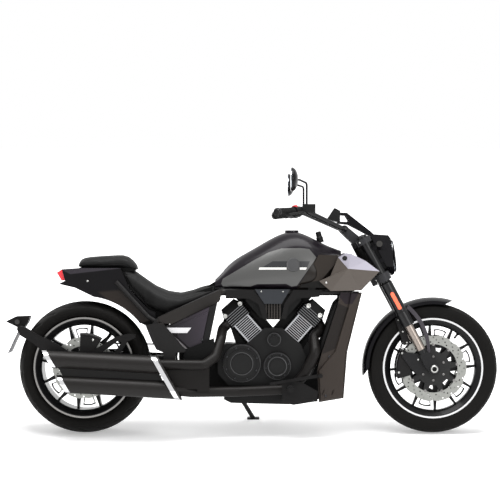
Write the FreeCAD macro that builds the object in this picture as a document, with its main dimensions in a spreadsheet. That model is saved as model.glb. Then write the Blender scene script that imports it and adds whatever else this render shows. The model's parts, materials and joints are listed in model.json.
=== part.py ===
import FreeCAD, Part
import math
import os
import re
import Sketcher
from FreeCAD import Placement, Rotation, Vector

# Cruiser motorcycle, in millimetres. X points forwards, Y to the rider's left, Z up.
# Every piece is drawn on the upright motorcycle, and the whole machine then leans onto its side stand.

SIZES = {
    # Layout
    "wheelbase": 1715,
    "rear_axle_x": -820,
    "rake": 28,
    "stand_lean": 8,
    "machine_shift": -177,
    "seam": 0.3,
    "running_gap": 0.05,
    "moving_gap": 5,
    # Tyres and rims
    "front_tyre_radius": 319.6,
    "front_tyre_width": 130,
    "front_crown": 70,
    "rear_tyre_radius": 324.6,
    "rear_tyre_width": 240,
    "rear_crown": 150,
    "bead_seat": 229,
    "rim_edge": 247,
    "rim_wall": 7,
    "rim_inside": 208,
    "front_rim_width": 100,
    "rear_rim_width": 222,
    "carcass": 12,
    "spoke_width": 10,
    "spoke_spread": 14,
    "web_radius": 128,
    "fin_gap": 15,
    "fin_width": 6,
    "fin_depth": 18,
    "front_wheel_turn": 12,
    "rear_wheel_turn": -6,
    "front_spoke_depth": 34,
    "rear_spoke_depth": 70,
    "front_hub_radius": 34,
    "front_hub_length": 96,
    "rear_hub_radius": 48,
    "rear_hub_length": 214,
    # Axles
    "axle_radius": 12.5,
    "axle_bore": 8,
    "axle_nut_radius": 21,
    "axle_nut_length": 10,
    # Brakes
    "front_disc_radius": 163,
    "rear_disc_radius": 151,
    "disc_band": 44,
    "disc_thickness": 5,
    "disc_hole": 3.6,
    "carrier_radius": 84,
    "carrier_arm": 30,
    "disc_plane": 64,
    "disc_scallop": 5,
    "rear_disc_plane": 124,
    "caliper_depth": 46,
    "pad_clearance": 5,
    # Belt drive
    "pulley_radius": 108,
    "pulley_width": 26,
    "belt_plane": 139,
    "belt_thickness": 6,
    "sprocket_radius": 46,
    "sprocket_x": -118,
    "sprocket_z": 372,
    # Fork, measured along the legs from the front axle
    "axle_lead": 10,
    "fork_offset": 26,
    "leg_spread": 105,
    "slider_radius": 21.5,
    "tube_radius": 29,
    "clamped_radius": 24,
    "collar_radius": 31,
    "slider_top": 262,
    "collar_bottom": 246,
    "collar_top": 318,
    "lower_clamp": 492,
    "lower_clamp_depth": 40,
    "upper_clamp": 700,
    "upper_clamp_depth": 28,
    "tube_top": 742,
    "stem_radius": 15,
    "head_tube_radius": 34,
    "clamp_wall": 13,
    "reflector_drop": 62,
    "reflector_length": 94,
    # Front fender
    "fender_gap": 26,
    "fender_wall": 3,
    "fender_half_width": 68.5,
    "fender_skirt": 30,
    "fender_front_angle": 74,
    "fender_rear_angle": 186,
    # Headlight and display
    "headlight_half_width": 104,
    "lens_half_width": 78,
    "display_half_width": 74,
    # Handlebar
    "bar_radius": 12.5,
    "grip_radius": 18,
    "grip_length": 128,
    "bar_rise": 106.6,
    "bar_setback": 66,
    "bar_centre_y": 92,
    "bar_bend_back": 196,
    "bar_bend_y": 258,
    "bar_bend_up": 90,
    "bar_end_back": 330,
    "bar_end_y": 452,
    "bar_end_up": 80,
    "bar_bend_radius": 60,
    "mirror_half_width": 72,
    "mirror_half_height": 58,
    "mirror_depth": 30,
    # Engine
    "crank_x": 108,
    "crank_z": 376,
    "half_vee": 41.5,
    "deck_height": 135,
    "cylinder_length": 105,
    "cylinder_core": 54,
    "cylinder_half_width": 62,
    "fin_pitch": 9.2,
    "fin_thickness": 3.2,
    "head_length": 58,
    "head_half_width": 66,
    "head_half_depth": 74,
    "cover_length": 44,
    "case_half_width": 92,
    "clutch_cover_radius": 94,
    "clutch_cover_depth": 66,
    "alternator_cover_radius": 68,
    "alternator_cover_depth": 60,
    "engine_bottom": 236,
    # Frame
    "spar_radius": 17,
    "spar_front_y": 105,
    "hanger_top": 706,
    "hanger_low": 664,
    "rail_plate": 15,
    "strut_radius": 11,
    "cradle_radius": 15,
    "rail_z": 205,
    "cradle_y": 105,
    "plate_gap": 3,
    "plate_thickness": 14,
    "pivot_x": -400,
    "pivot_z": 352,
    "pivot_radius": 14,
    "arm_inner": 156,
    "arm_thickness": 28,
    # Tank
    "tank_rear_x": -178,
    "tank_front_x": 442,
    "tank_peak_z": 990,
    "tank_base_z": 712,
    "tank_half_width": 152,
    "tank_tunnel_half": 46,
    "tank_tunnel_top": 800,
    "panel_lift": 5,
    "panel_edge": 92,
    "cap_x": 200,
    "cap_radius": 34,
    "cap_rise": 5,
    # Seats and tail
    "seat_half_width": 140,
    "seat_nose_half": 78,
    "pillion_half_width": 98,
    "tail_half_width": 112,
    "tail_end_half": 62,
    "tail_deck_z": 812,
    "tail_arch_radius": 350,
    # Exhaust, on the right side
    "pipe_radius": 25,
    "muffler_y": -252,
    "muffler_front_radius": 45,
    "muffler_rear_radius": 41,
    "muffler_length": 720,
    "muffler_overhang": 70,
    "muffler_rear_x": -962,
    "muffler_rear_z": 330,
    "muffler_front_x": -397,
    "muffler_mid_z": 290,
    "muffler_fall": 0.055,
    "muffler_bore": 26,
    "upper_muffler_z": 362,
    "lower_muffler_z": 243,
    "muffler_rake": 29.5,
    "muffler_web": 20,
    "band_thickness": 2,
    "tip_length": 22,
    "collar_length": 34,
    # Radiator and covers
    "radiator_half_width": 132,
    "radiator_thickness": 42,
    "shroud_thickness": 16,
    "shroud_relief": 14,
    "cowl_edge": 20,
    "cowl_thickness": 42,
    "infill_thickness": 22,
    "side_cover_thickness": 15,
    "side_cover_relief": 7,
    # Rear lamps and plate
    "plate_half_width": 90,
    # Side stand
    "stand_x": -60,
    "stand_y": 140,
    "stand_z": 172,
    "stand_forward": 70,
    "stand_out": 165,
    "stand_fold_back": 220,
    "stand_fold_out": 30,
    "stand_fold_up": 20,
    "stand_radius": 11,
    "eye_radius": 16,
    "eye_length": 24,
    "ear_thickness": 8,
    "pin_radius": 5,
    "foot_thickness": 7,
    "foot_length": 62,
    "foot_width": 40,
}

# Lengths that follow from the sizes above, as formulas in the same words.
FORMULAS = {
    "front_axle_x": "rear_axle_x + wheelbase",
    "front_axle_z": "front_tyre_radius + (front_crown - rear_crown) * (1 / cos(stand_lean) - 1)",
    "rear_axle_z": "rear_tyre_radius",
    "machine_lift": "rear_crown * (1 - cos(stand_lean))",
    "steer_line": "axle_lead + fork_offset",
    "fender_radius": "front_tyre_radius + fender_gap",
    "deck_x": "deck_height * sin(half_vee)",
    "deck_z": "deck_height * cos(half_vee)",
    "deck_half_x": "cylinder_half_width * cos(half_vee)",
    "deck_half_z": "cylinder_half_width * sin(half_vee)",
    "head_base": "deck_height + cylinder_length",
    "head_top": "head_base + head_length",
    "arm_outer": "arm_inner + arm_thickness",
    "side_cover_inner": "belt_plane + pulley_width / 2 + moving_gap",
    "shroud_inner": "radiator_half_width + seam",
    "infill_inner": "spar_front_y + spar_radius + seam",
    "cowl_inner": "infill_inner + infill_thickness + seam",
    "plate_inner": "arm_outer + plate_gap",
    "spar_y": "plate_inner - spar_radius + 4",
    "spar_z": "tank_base_z - spar_radius - seam",
    "bar_fork_z": "upper_clamp + bar_rise",
    "bar_centre_x": "front_axle_x - bar_fork_z * sin(rake) - bar_setback * cos(rake)",
    "bar_centre_z": "front_axle_z + bar_fork_z * cos(rake) - bar_setback * sin(rake)",
    "bar_bend_x": "bar_centre_x - bar_bend_back",
    "bar_bend_z": "bar_centre_z + bar_bend_up",
    "bar_end_x": "bar_centre_x - bar_end_back",
    "bar_end_z": "bar_centre_z + bar_end_up",
    "reflector_bottom": "lower_clamp - reflector_drop - reflector_length",
    "lamp_x": "front_axle_x - upper_clamp * sin(rake)",
    "lamp_z": "front_axle_z + upper_clamp * cos(rake)",
    "clamp_space": "upper_clamp - lower_clamp - lower_clamp_depth",
    "roof": "spar_z - spar_radius - seam",
}

WORD = re.compile(r"[a-z_][a-z_0-9]*")
RIGHT, LEFT = -1, 1

doc = FreeCAD.newDocument("Cruiser")
sheet = doc.addObject("Spreadsheet::Sheet", "Sizes")
for row, (alias, number) in enumerate(SIZES.items(), start=1):
    sheet.set(f"A{row}", alias.replace("_", " "))
    sheet.set(f"B{row}", str(number))
    sheet.setAlias(f"B{row}", alias)
doc.recompute()


def spelled(formula):
    """A formula in the words above, written with the sheet's cells."""

    def swap(match):
        word = match[0]
        if word in SIZES:
            return "Sizes." + word
        if word in FORMULAS:
            return "(" + spelled(FORMULAS[word]) + ")"
        return word

    return WORD.sub(swap, str(formula))


def value(formula):
    return float(sheet.evalExpression(spelled(formula)))


def vector(x, y, z):
    return Vector(value(x), value(y), value(z))


LEAN = Placement(
    vector(0, "machine_shift", "machine_lift"),
    Rotation(Vector(1, 0, 0), -value("stand_lean")),
)
nodes = []


def keep(part, label, base=(0, 0, 0), turn=None):
    """Names a finished piece and puts it at its place on the leaning machine."""
    part.Label = label
    part.Placement = LEAN * Placement(vector(*base), turn or Rotation())
    nodes.append(part)
    return part


def doc_shape(shape, name):
    """A feature with a finished shape, which keeps any shift the shape has of its own."""
    part = doc.addObject("Part::Feature", name)
    part.Shape = shape if shape.Placement.isIdentity() else Part.Compound([shape])
    return part


def keep_shape(shape, label, base=(0, 0, 0), turn=None):
    return keep(doc_shape(shape, label), label, base, turn)


FORK_TURN = Rotation(Vector(0, 1, 0), -value("rake"))


def turned(angle):
    """A turn about the machine's crosswise line, clockwise as seen from its right."""
    return Rotation(Vector(0, 1, 0), value(angle))


def keep_on_fork(part, label):
    """Fork pieces are drawn along the legs, from the axle up."""
    return keep(part, label, ("front_axle_x", 0, "front_axle_z"), FORK_TURN)


# Sketches and features


def new_body(name):
    return doc.addObject("PartDesign::Body", name)


def sketch(body, role, offset=0):
    plane = next(f for f in body.Origin.OriginFeatures if f.Role == role)
    drawing = body.newObject("Sketcher::SketchObject", "sketch")
    drawing.AttachmentSupport = (plane, "")
    drawing.MapMode = "FlatFace"
    drawing.setExpression("AttachmentOffset.Base.z", spelled(offset))
    return drawing


def fix_point(drawing, geometry, end, point):
    for kind, formula in (("DistanceX", point[0]), ("DistanceY", point[1])):
        number = drawing.addConstraint(
            Sketcher.Constraint(kind, -1, 1, geometry, end, value(formula))
        )
        drawing.setExpression(f"Constraints[{number}]", spelled(formula))


def outline(drawing, points):
    """A closed outline. A point marked "via" bends the edge between its neighbours into an arc."""
    corners = [p for p in points if p[0] != "via"]
    starts = [i for i, p in enumerate(points) if p[0] != "via"]
    edges = []
    for number, start in enumerate(starts):
        here = corners[number]
        there = corners[(number + 1) % len(corners)]
        nearby = points[(start + 1) % len(points)]
        a = Vector(value(here[0]), value(here[1]), 0)
        b = Vector(value(there[0]), value(there[1]), 0)
        if nearby[0] == "via":
            middle = Vector(value(nearby[1]), value(nearby[2]), 0)
            drawn = Part.Arc(a, middle, b).toShape().Curve
            circle = Part.Circle(drawn.Center, Vector(0, 0, 1), drawn.Radius)
            first = 1 if (middle - a).cross(b - middle).z > 0 else 2
            turn = [circle.parameter(corner) for corner in ((a, b) if first == 1 else (b, a))]
            edge = drawing.addGeometry(Part.ArcOfCircle(circle, *turn), False)
            dot = drawing.addGeometry(Part.Point(middle), True)
            fix_point(drawing, dot, 1, nearby[1:])
            drawing.addConstraint(Sketcher.Constraint("PointOnObject", dot, 1, edge))
        else:
            edge = drawing.addGeometry(Part.LineSegment(a, b), False)
            first = 1
        edges.append((edge, first))
    for number, (edge, first) in enumerate(edges):
        after, after_first = edges[(number + 1) % len(edges)]
        drawing.addConstraint(
            Sketcher.Constraint("Coincident", edge, 3 - first, after, after_first)
        )
        fix_point(drawing, edge, first, corners[number])
    return drawing


def ring(drawing, x, y, radius):
    centre = Vector(value(x), value(y), 0)
    edge = drawing.addGeometry(Part.Circle(centre, Vector(0, 0, 1), value(radius)), False)
    fix_point(drawing, edge, 3, (x, y))
    number = drawing.addConstraint(Sketcher.Constraint("Radius", edge, value(radius)))
    drawing.setExpression(f"Constraints[{number}]", spelled(radius))
    return drawing


def pad(body, drawing, length, middle=False, taper=0):
    feature = body.newObject("PartDesign::Pad", "pad")
    feature.Profile = drawing
    feature.SideType = "Symmetric" if middle else "One side"
    feature.setExpression("Length", spelled(length))
    if taper:
        feature.setExpression("TaperAngle", spelled(taper))
    return feature


def pocket(body, drawing, length=None, flip=False):
    """Cuts through everything on both sides, or to a length on one side."""
    feature = body.newObject("PartDesign::Pocket", "pocket")
    feature.Profile = drawing
    if length is None:
        feature.SideType = "Symmetric"
        feature.Type = "ThroughAll"
    else:
        feature.setExpression("Length", spelled(length))
        feature.Reversed = flip
    return feature


def revolve(body, drawing, axis="H_Axis", angle=360):
    feature = body.newObject("PartDesign::Revolution", "turned")
    feature.Profile = drawing
    feature.ReferenceAxis = (drawing, [axis])
    feature.setExpression("Angle", spelled(angle))
    return feature


def origin_axis(body, role):
    return next(f for f in body.Origin.OriginFeatures if f.Role == role)


def polar(body, features, role, count):
    pattern = body.newObject("PartDesign::PolarPattern", "around")
    pattern.Originals = features
    pattern.Axis = (origin_axis(body, role), [""])
    pattern.Angle = 360
    pattern.Occurrences = count
    body.Tip = pattern
    return pattern


def rows(body, features, role, length, count):
    pattern = body.newObject("PartDesign::LinearPattern", "row")
    pattern.Originals = features
    pattern.Direction = (origin_axis(body, role), [""])
    pattern.setExpression("Length", spelled(length))
    pattern.Occurrences = count
    body.Tip = pattern
    return pattern


# Shapes that no sketch fits


def rounded_path(points, radius):
    """Straight runs joined by arcs that touch both runs."""
    edges = []
    start = points[0]
    for before, corner, after in zip(points, points[1:], points[2:]):
        into = (corner - before).normalize()
        out = (after - corner).normalize()
        half = into.getAngle(out) / 2
        cut = radius * math.tan(half)
        begin = corner - into * cut
        end = corner + out * cut
        inward = (out - into).normalize()
        middle = corner + inward * (radius / math.cos(half) - radius)
        edges.append(Part.LineSegment(start, begin).toShape())
        edges.append(Part.Arc(begin, middle, end).toShape())
        start = end
    edges.append(Part.LineSegment(start, points[-1]).toShape())
    return Part.Wire(edges)


def tube(points, bend, radius, wall=0):
    """A round tube along a path, open at both ends where it has a wall."""
    path = rounded_path(points, bend)
    along = points[1] - points[0]
    rim = Part.Wire([Part.Circle(points[0], along, radius).toShape()])
    body = path.makePipeShell([rim], True, False)
    if not wall:
        return body
    inner = Part.Wire([Part.Circle(points[0], along, radius - wall).toShape()])
    return body.cut(path.makePipeShell([inner], True, False))


def mirrored(shape):
    return shape.mirror(Vector(0, 0, 0), Vector(0, 1, 0))


def both_sides(shape):
    return Part.Compound([shape, mirrored(shape)])


def prism(points, low, high):
    """A side outline in X and Z, extruded across the machine."""
    corners = [vector(x, low, z) for x, z in points]
    face = Part.Face(Part.makePolygon(corners + corners[:1]))
    return face.extrude(vector(0, high, 0) - vector(0, low, 0))


# Wheels, drawn about their own axle: Y runs along the axle


def tyre(label, side, base):
    radius = f"{side}_tyre_radius"
    half = f"{side}_tyre_width / 2"
    crown = f"{side}_crown"
    rim_half = f"({side}_rim_width / 2 - rim_wall - seam)"
    shoulder = f"({radius} - {crown} + sqrt({crown}^2 - ({half} - 3)^2))"
    body = new_body(label)
    section = sketch(body, "YZ_Plane")
    outline(
        section,
        [
            (f"-{rim_half}", "bead_seat + seam"),
            (f"-{rim_half}", "rim_edge"),
            (f"-({half})", f"({shoulder} + rim_edge) / 2"),
            (f"-({half} - 3)", shoulder),
            ("via", 0, radius),
            (f"{half} - 3", shoulder),
            (half, f"({shoulder} + rim_edge) / 2"),
            (rim_half, "rim_edge"),
            (rim_half, "bead_seat + seam"),
            (f"{rim_half} - carcass", "bead_seat + seam"),
            (f"{rim_half} - carcass", "rim_edge"),
            (f"{half} - 3 - carcass", f"{shoulder} - carcass"),
            ("via", 0, f"{radius} - carcass"),
            (f"-({half} - 3 - carcass)", f"{shoulder} - carcass"),
            (f"-({rim_half} - carcass)", "rim_edge"),
            (f"-({rim_half} - carcass)", "bead_seat + seam"),
        ],
    )
    revolve(body, section)
    return keep(body, label, base)


def rim(label, side, base):
    half = f"{side}_rim_width / 2"
    hub_half = f"{side}_hub_length / 2"
    hub = f"{side}_hub_radius"
    depth = f"{side}_spoke_depth"
    body = new_body(label)
    barrel = sketch(body, "YZ_Plane")
    outline(
        barrel,
        [
            (f"-({half})", "rim_edge - 13"),
            (f"-({half})", "rim_edge"),
            (f"-({half} - rim_wall)", "rim_edge"),
            (f"-({half} - rim_wall)", "bead_seat"),
            (f"{half} - rim_wall", "bead_seat"),
            (f"{half} - rim_wall", "rim_edge"),
            (half, "rim_edge"),
            (half, "rim_edge - 13"),
            (f"{half} - 2 * rim_wall", "rim_inside + 5"),
            (f"{half} - 4 * rim_wall", "rim_inside"),
            (f"-({half} - 4 * rim_wall)", "rim_inside"),
            (f"-({half} - 2 * rim_wall)", "rim_inside + 5"),
        ],
    )
    revolve(body, barrel)
    pair = sketch(body, "XZ_Plane")
    outer = "(rim_inside + 2)"
    lean = "spoke_spread"
    outline(
        pair,
        [
            (f"-{hub}", 0),
            (f"-{outer} * sin({lean}) - spoke_width", f"{outer} * cos({lean})"),
            (f"-{outer} * sin({lean})", f"{outer} * cos({lean})"),
            (f"-web_radius * sin({lean})", "web_radius"),
            ("via", 0, "web_radius - spoke_width"),
            (f"web_radius * sin({lean})", "web_radius"),
            (f"{outer} * sin({lean})", f"{outer} * cos({lean})"),
            (f"{outer} * sin({lean}) + spoke_width", f"{outer} * cos({lean})"),
            (hub, 0),
        ],
    )
    spokes = pad(body, pair, depth, middle=True)
    frame = sketch(body, "XZ_Plane")
    inner_fin(frame)
    fin = pad(body, frame, "fin_depth", middle=True)
    hole = sketch(body, "XZ_Plane")
    outline(
        hole,
        [
            (f"-{hub} * 0.3", f"{hub} + 6"),
            (f"-web_radius * sin({lean}) * 0.8", "web_radius - 2.2 * spoke_width"),
            ("via", 0, "web_radius - 2.8 * spoke_width"),
            (f"web_radius * sin({lean}) * 0.8", "web_radius - 2.2 * spoke_width"),
            (f"{hub} * 0.3", f"{hub} + 6"),
        ],
    )
    window = pocket(body, hole)
    polar(body, [spokes, fin, window], "Y_Axis", 6)
    barrel_hub = sketch(body, "YZ_Plane")
    outline(
        barrel_hub,
        [
            (f"-({hub_half})", "axle_radius + running_gap"),
            (f"-({hub_half})", f"{hub} - 8"),
            (f"-({depth} / 2 + 4)", hub),
            (f"{depth} / 2 + 4", hub),
            (hub_half, f"{hub} - 8"),
            (hub_half, "axle_radius + running_gap"),
        ],
    )
    revolve(body, barrel_hub)
    bore = sketch(body, "XZ_Plane")
    ring(bore, 0, 0, "axle_radius + running_gap")
    pocket(body, bore)
    return keep(body, label, base, turned(f"{side}_wheel_turn"))


def inner_fin(drawing):
    """The thin arch that stands between the two spokes of a pair, on their web."""
    foot = "web_radius - 16"
    head = "rim_inside - fin_gap"
    shoulder = "rim_inside - fin_gap - fin_width"
    root = "(web_radius - 16) * sin(spoke_spread) - fin_gap"
    spread = "(rim_inside - fin_gap) * sin(spoke_spread) - fin_gap"
    outline(
        drawing,
        [
            (f"-({root})", foot),
            (f"-({spread})", shoulder),
            ("via", 0, head),
            (spread, shoulder),
            (root, foot),
            (f"{root} - fin_width", foot),
            (f"{spread} - fin_width", f"{shoulder} - fin_width"),
            ("via", 0, f"{head} - fin_width"),
            (f"-({spread}) + fin_width", f"{shoulder} - fin_width"),
            (f"-({root}) + fin_width", foot),
        ],
    )


def disc_body(name, radius):
    """A brake disc band with a scalloped edge and rows of holes."""
    body = new_body(name)
    band = sketch(body, "XZ_Plane")
    ring(band, 0, 0, radius)
    ring(band, 0, 0, f"{radius} - disc_band")
    pad(body, band, "disc_thickness", middle=True)
    scallop = sketch(body, "XZ_Plane")
    ring(scallop, 0, f"{radius} + 60 - disc_scallop", 60)
    cut = pocket(body, scallop)
    polar(body, [cut], "Y_Axis", 10)
    holes = sketch(body, "XZ_Plane")
    for depth, angle in ((11, 0), (22, 6), (33, 12)):
        out = f"({radius} - {depth})"
        ring(holes, f"{out} * sin({angle})", f"{out} * cos({angle})", "disc_hole")
    drilled = pocket(body, holes)
    polar(body, [drilled], "Y_Axis", 20)
    return body


FRONT_AXLE = ("front_axle_x", 0, "front_axle_z")
REAR_AXLE = ("rear_axle_x", 0, "rear_axle_z")


def disc_set(side, plane, flange_start):
    """A disc band with the arms and the flange that carry it on the hub."""
    radius = f"{side}_disc_radius"
    hub = f"{side}_hub_radius"
    band = disc_body(side + "_disc_band", radius)
    arms = new_body(side + "_disc_carrier")
    middle = sketch(arms, "XZ_Plane")
    ring(middle, 0, 0, "carrier_radius")
    pad(arms, middle, "disc_thickness", middle=True)
    arm = sketch(arms, "XZ_Plane")
    outline(
        arm,
        [
            ("-carrier_arm / 2", "carrier_radius - 6"),
            ("-carrier_arm / 3", f"{radius} - disc_band - 2 * seam - 0.5"),
            ("carrier_arm / 3", f"{radius} - disc_band - 2 * seam - 0.5"),
            ("carrier_arm / 2", "carrier_radius - 6"),
        ],
    )
    blade = pad(arms, arm, "disc_thickness", middle=True)
    polar(arms, [blade], "Y_Axis", 9)
    length = f"({plane} - {flange_start})"
    flange = sketch(arms, "XZ_Plane")
    ring(flange, 0, 0, f"{hub} + 4")
    pad(arms, flange, length)
    bore = sketch(arms, "XZ_Plane")
    ring(bore, 0, 0, "axle_radius + running_gap")
    pocket(arms, bore)
    doc.recompute()
    pair = Part.Compound([band.Shape, arms.Shape])
    pair.translate(vector(0, plane, 0))
    return pair


def front_wheel():
    tyre("front_tyre", "front", FRONT_AXLE)
    rim("front_rim", "front", FRONT_AXLE)
    left = disc_set("front", "disc_plane", "front_hub_length / 2 - seam")
    keep_shape(both_sides(left), "front_brake_discs", FRONT_AXLE)


def rear_wheel():
    tyre("rear_tyre", "rear", REAR_AXLE)
    rim("rear_rim", "rear", REAR_AXLE)
    left = disc_set("rear", "rear_disc_plane", "rear_hub_length / 2 - seam")
    keep_shape(Part.Compound([mirrored(left)]), "rear_brake_disc", REAR_AXLE)
    rear_pulley()


def rear_pulley():
    body = new_body("rear_pulley")
    section = sketch(body, "YZ_Plane")
    inner = "(rear_hub_length / 2 + seam)"
    outline(
        section,
        [
            (inner, "axle_radius + running_gap"),
            (inner, "rear_hub_radius"),
            ("belt_plane - 6", "rear_hub_radius + 10"),
            ("belt_plane - 6", "pulley_radius - 12"),
            ("belt_plane - pulley_width / 2", "pulley_radius - 8"),
            ("belt_plane - pulley_width / 2", "pulley_radius"),
            ("belt_plane + pulley_width / 2", "pulley_radius"),
            ("belt_plane + pulley_width / 2", "pulley_radius - 8"),
            ("belt_plane + 2", "pulley_radius - 12"),
            ("belt_plane + 2", "axle_radius + running_gap"),
        ],
    )
    revolve(body, section)
    window = sketch(body, "XZ_Plane", "-belt_plane")
    ring(window, 0, "(rear_hub_radius + pulley_radius) / 2", 16)
    cut = pocket(body, window)
    polar(body, [cut], "Y_Axis", 6)
    keep(body, "rear_pulley", REAR_AXLE)


# Fork and what turns with it


def trim(body, role, frame, points):
    """Cuts away all that lies outside an outline, seen along the plane's normal."""
    drawing = sketch(body, role)
    left, low, right, high = frame
    outline(drawing, [(left, low), (right, low), (right, high), (left, high)])
    outline(drawing, points)
    return pocket(body, drawing)


def leg_pair(body, label):
    """Both legs' pieces, drawn on the leg's own line."""
    doc.recompute()
    shapes = []
    for side in (RIGHT, LEFT):
        shape = body.Shape.copy() if side == LEFT else mirrored(body.Shape)
        shape.translate(vector("-axle_lead", f"{side} * leg_spread", 0))
        shapes.append(shape)
    return keep_on_fork(doc_shape(Part.Compound(shapes), label), label)


def fork_tubes():
    body = new_body("fork_tube")
    section = sketch(body, "XZ_Plane")
    outline(
        section,
        [
            (0, "slider_top + seam"),
            ("slider_radius + running_gap", "slider_top + seam"),
            ("slider_radius + running_gap", "collar_bottom"),
            ("collar_radius", "collar_bottom"),
            ("collar_radius", "collar_top"),
            ("tube_radius", "collar_top + 8"),
            ("tube_radius", "lower_clamp - 12"),
            ("clamped_radius", "lower_clamp - 6"),
            ("clamped_radius", "tube_top - 4"),
            ("clamped_radius - 4", "tube_top"),
            (0, "tube_top"),
        ],
    )
    revolve(body, section, "V_Axis")
    leg_pair(body, "fork_tubes")


def fork_sliders():
    body = new_body("fork_slider")
    leg = sketch(body, "XY_Plane", 60)
    ring(leg, 0, 0, "slider_radius")
    pad(body, leg, "slider_top - 60")
    casting = sketch(body, "XZ_Plane")
    outline(
        casting,
        [
            (-23, 92),
            (23, 92),
            (34, 30),
            (38, 0),
            ("via", "axle_lead", -30),
            (-18, 0),
            (-25, 40),
        ],
    )
    pad(body, casting, "2 * slider_radius", middle=True)
    lug = sketch(body, "XZ_Plane", "leg_spread - disc_plane - caliper_depth / 2 - seam - 12")
    outline(lug, [(-10, 20), (-60, 4), (-84, 22), (-100, 128), (-84, 140), (-62, 128), (-10, 92)])
    pad(body, lug, 12)
    bore = sketch(body, "XZ_Plane")
    ring(bore, "axle_lead", 0, "axle_radius + running_gap")
    pocket(body, bore)
    leg_pair(body, "fork_sliders")


def front_axle():
    body = new_body("front_axle")
    section = sketch(body, "YZ_Plane")
    lug_inner = "(leg_spread - slider_radius - seam)"
    lug_outer = "(leg_spread + slider_radius + seam)"
    spacer = "(disc_plane + disc_thickness / 2 + seam)"
    axle_outline(section, spacer, lug_inner, lug_outer, spacer)
    revolve(body, section)
    keep(body, "front_axle", FRONT_AXLE)


def axle_outline(section, right_spacer, lug_inner, lug_outer, left_spacer):
    """Half of a hollow axle: a nut, a spacer, the shaft, a spacer and a head."""
    nut = f"({lug_outer} + axle_nut_length)"
    outline(
        section,
        [
            (f"-{nut}", "axle_bore"),
            (f"-{nut}", "axle_nut_radius - 2"),
            (f"-{nut} + 2", "axle_nut_radius"),
            (f"-{lug_outer}", "axle_nut_radius"),
            (f"-{lug_outer}", "axle_radius"),
            (f"-{lug_inner}", "axle_radius"),
            (f"-{lug_inner}", "axle_radius + 6"),
            (f"-{right_spacer}", "axle_radius + 6"),
            (f"-{right_spacer}", "axle_radius"),
            (left_spacer, "axle_radius"),
            (left_spacer, "axle_radius + 6"),
            (lug_inner, "axle_radius + 6"),
            (lug_inner, "axle_radius"),
            (lug_outer, "axle_radius"),
            (lug_outer, "axle_nut_radius"),
            (f"{nut} - 2", "axle_nut_radius"),
            (nut, "axle_nut_radius - 2"),
            (nut, "axle_bore"),
        ],
    )


def triple_clamps():
    body = new_body("triple_clamps")
    stem = sketch(body, "XY_Plane", "lower_clamp")
    ring(stem, "-steer_line", 0, "stem_radius")
    pad(body, stem, "upper_clamp - lower_clamp + upper_clamp_depth")
    grip = "(clamped_radius + clamp_wall)"
    for base, depth in (("lower_clamp", "lower_clamp_depth"), ("upper_clamp", "upper_clamp_depth")):
        plate = sketch(body, "XY_Plane", base)
        outline(
            plate,
            [
                ("-axle_lead - clamped_radius", "-leg_spread"),
                ("-steer_line - stem_radius - 18", "-stem_radius - 14"),
                ("-steer_line - stem_radius - 18", "stem_radius + 14"),
                ("-axle_lead - clamped_radius", "leg_spread"),
                ("-axle_lead + clamped_radius", "leg_spread"),
                ("-axle_lead + 4", 0),
                ("-axle_lead + clamped_radius", "-leg_spread"),
            ],
        )
        pad(body, plate, depth)
        for side in (RIGHT, LEFT):
            eye = sketch(body, "XY_Plane", base)
            ring(eye, "-axle_lead", f"{side} * leg_spread", grip)
            pad(body, eye, depth)
    for side in (RIGHT, LEFT):
        riser = sketch(body, "XZ_Plane", f"{side} * 47 - 15")
        outline(
            riser,
            [
                ("-steer_line - 26", "upper_clamp + upper_clamp_depth - 2"),
                ("-bar_setback - bar_radius - 10", "bar_fork_z"),
                ("via", "-bar_setback", "bar_fork_z + bar_radius + 10"),
                ("-bar_setback + bar_radius + 10", "bar_fork_z"),
                ("-steer_line + 26", "upper_clamp + upper_clamp_depth - 2"),
            ],
        )
        pad(body, riser, 30)
    bar_bore = sketch(body, "XZ_Plane")
    ring(bar_bore, "-bar_setback", "bar_fork_z", "bar_radius + running_gap")
    pocket(body, bar_bore)
    for side in (RIGHT, LEFT):
        bore = sketch(body, "XY_Plane")
        ring(bore, "-axle_lead", f"{side} * leg_spread", "clamped_radius + running_gap")
        pocket(body, bore)
    keep_on_fork(body, "triple_clamps")


def fork_reflectors():
    body = new_body("fork_reflector")
    bar = sketch(body, "XZ_Plane", "-tube_radius - seam - 7")
    foot = "reflector_bottom"
    head = "(reflector_bottom + reflector_length)"
    outline(
        bar,
        [
            (-9, f"{foot} + 9"),
            (-9, f"{head} - 9"),
            ("via", 0, head),
            (9, f"{head} - 9"),
            (9, f"{foot} + 9"),
            ("via", 0, foot),
        ],
    )
    pad(body, bar, 7)
    leg_pair(body, "fork_reflectors")


def front_fender():
    body = new_body("front_fender_form")
    section = sketch(body, "YZ_Plane")
    skirt = "(fender_radius - fender_skirt)"
    half = "fender_half_width"
    edge = "(fender_radius - 14)"
    outline(
        section,
        [
            (f"-{half} - fender_wall", skirt),
            (f"-{half} - fender_wall", edge),
            ("via", 0, "fender_radius + fender_wall"),
            (f"{half} + fender_wall", edge),
            (f"{half} + fender_wall", skirt),
            (half, skirt),
            (half, edge),
            ("via", 0, "fender_radius"),
            (f"-{half}", edge),
            (f"-{half}", skirt),
        ],
    )
    revolve(body, section, "H_Axis", "fender_rear_angle - fender_front_angle")
    doc.recompute()
    form = body.Shape.copy()
    form.Placement = Placement(Vector(), turned("90 - fender_rear_angle"))
    tips = [fender_tip("fender_front_angle", 1), fender_tip("fender_rear_angle", -1)]
    form = max(form.cut(tips).Solids, key=lambda solid: solid.Volume)
    keep_shape(form, "front_fender", FRONT_AXLE)


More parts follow.
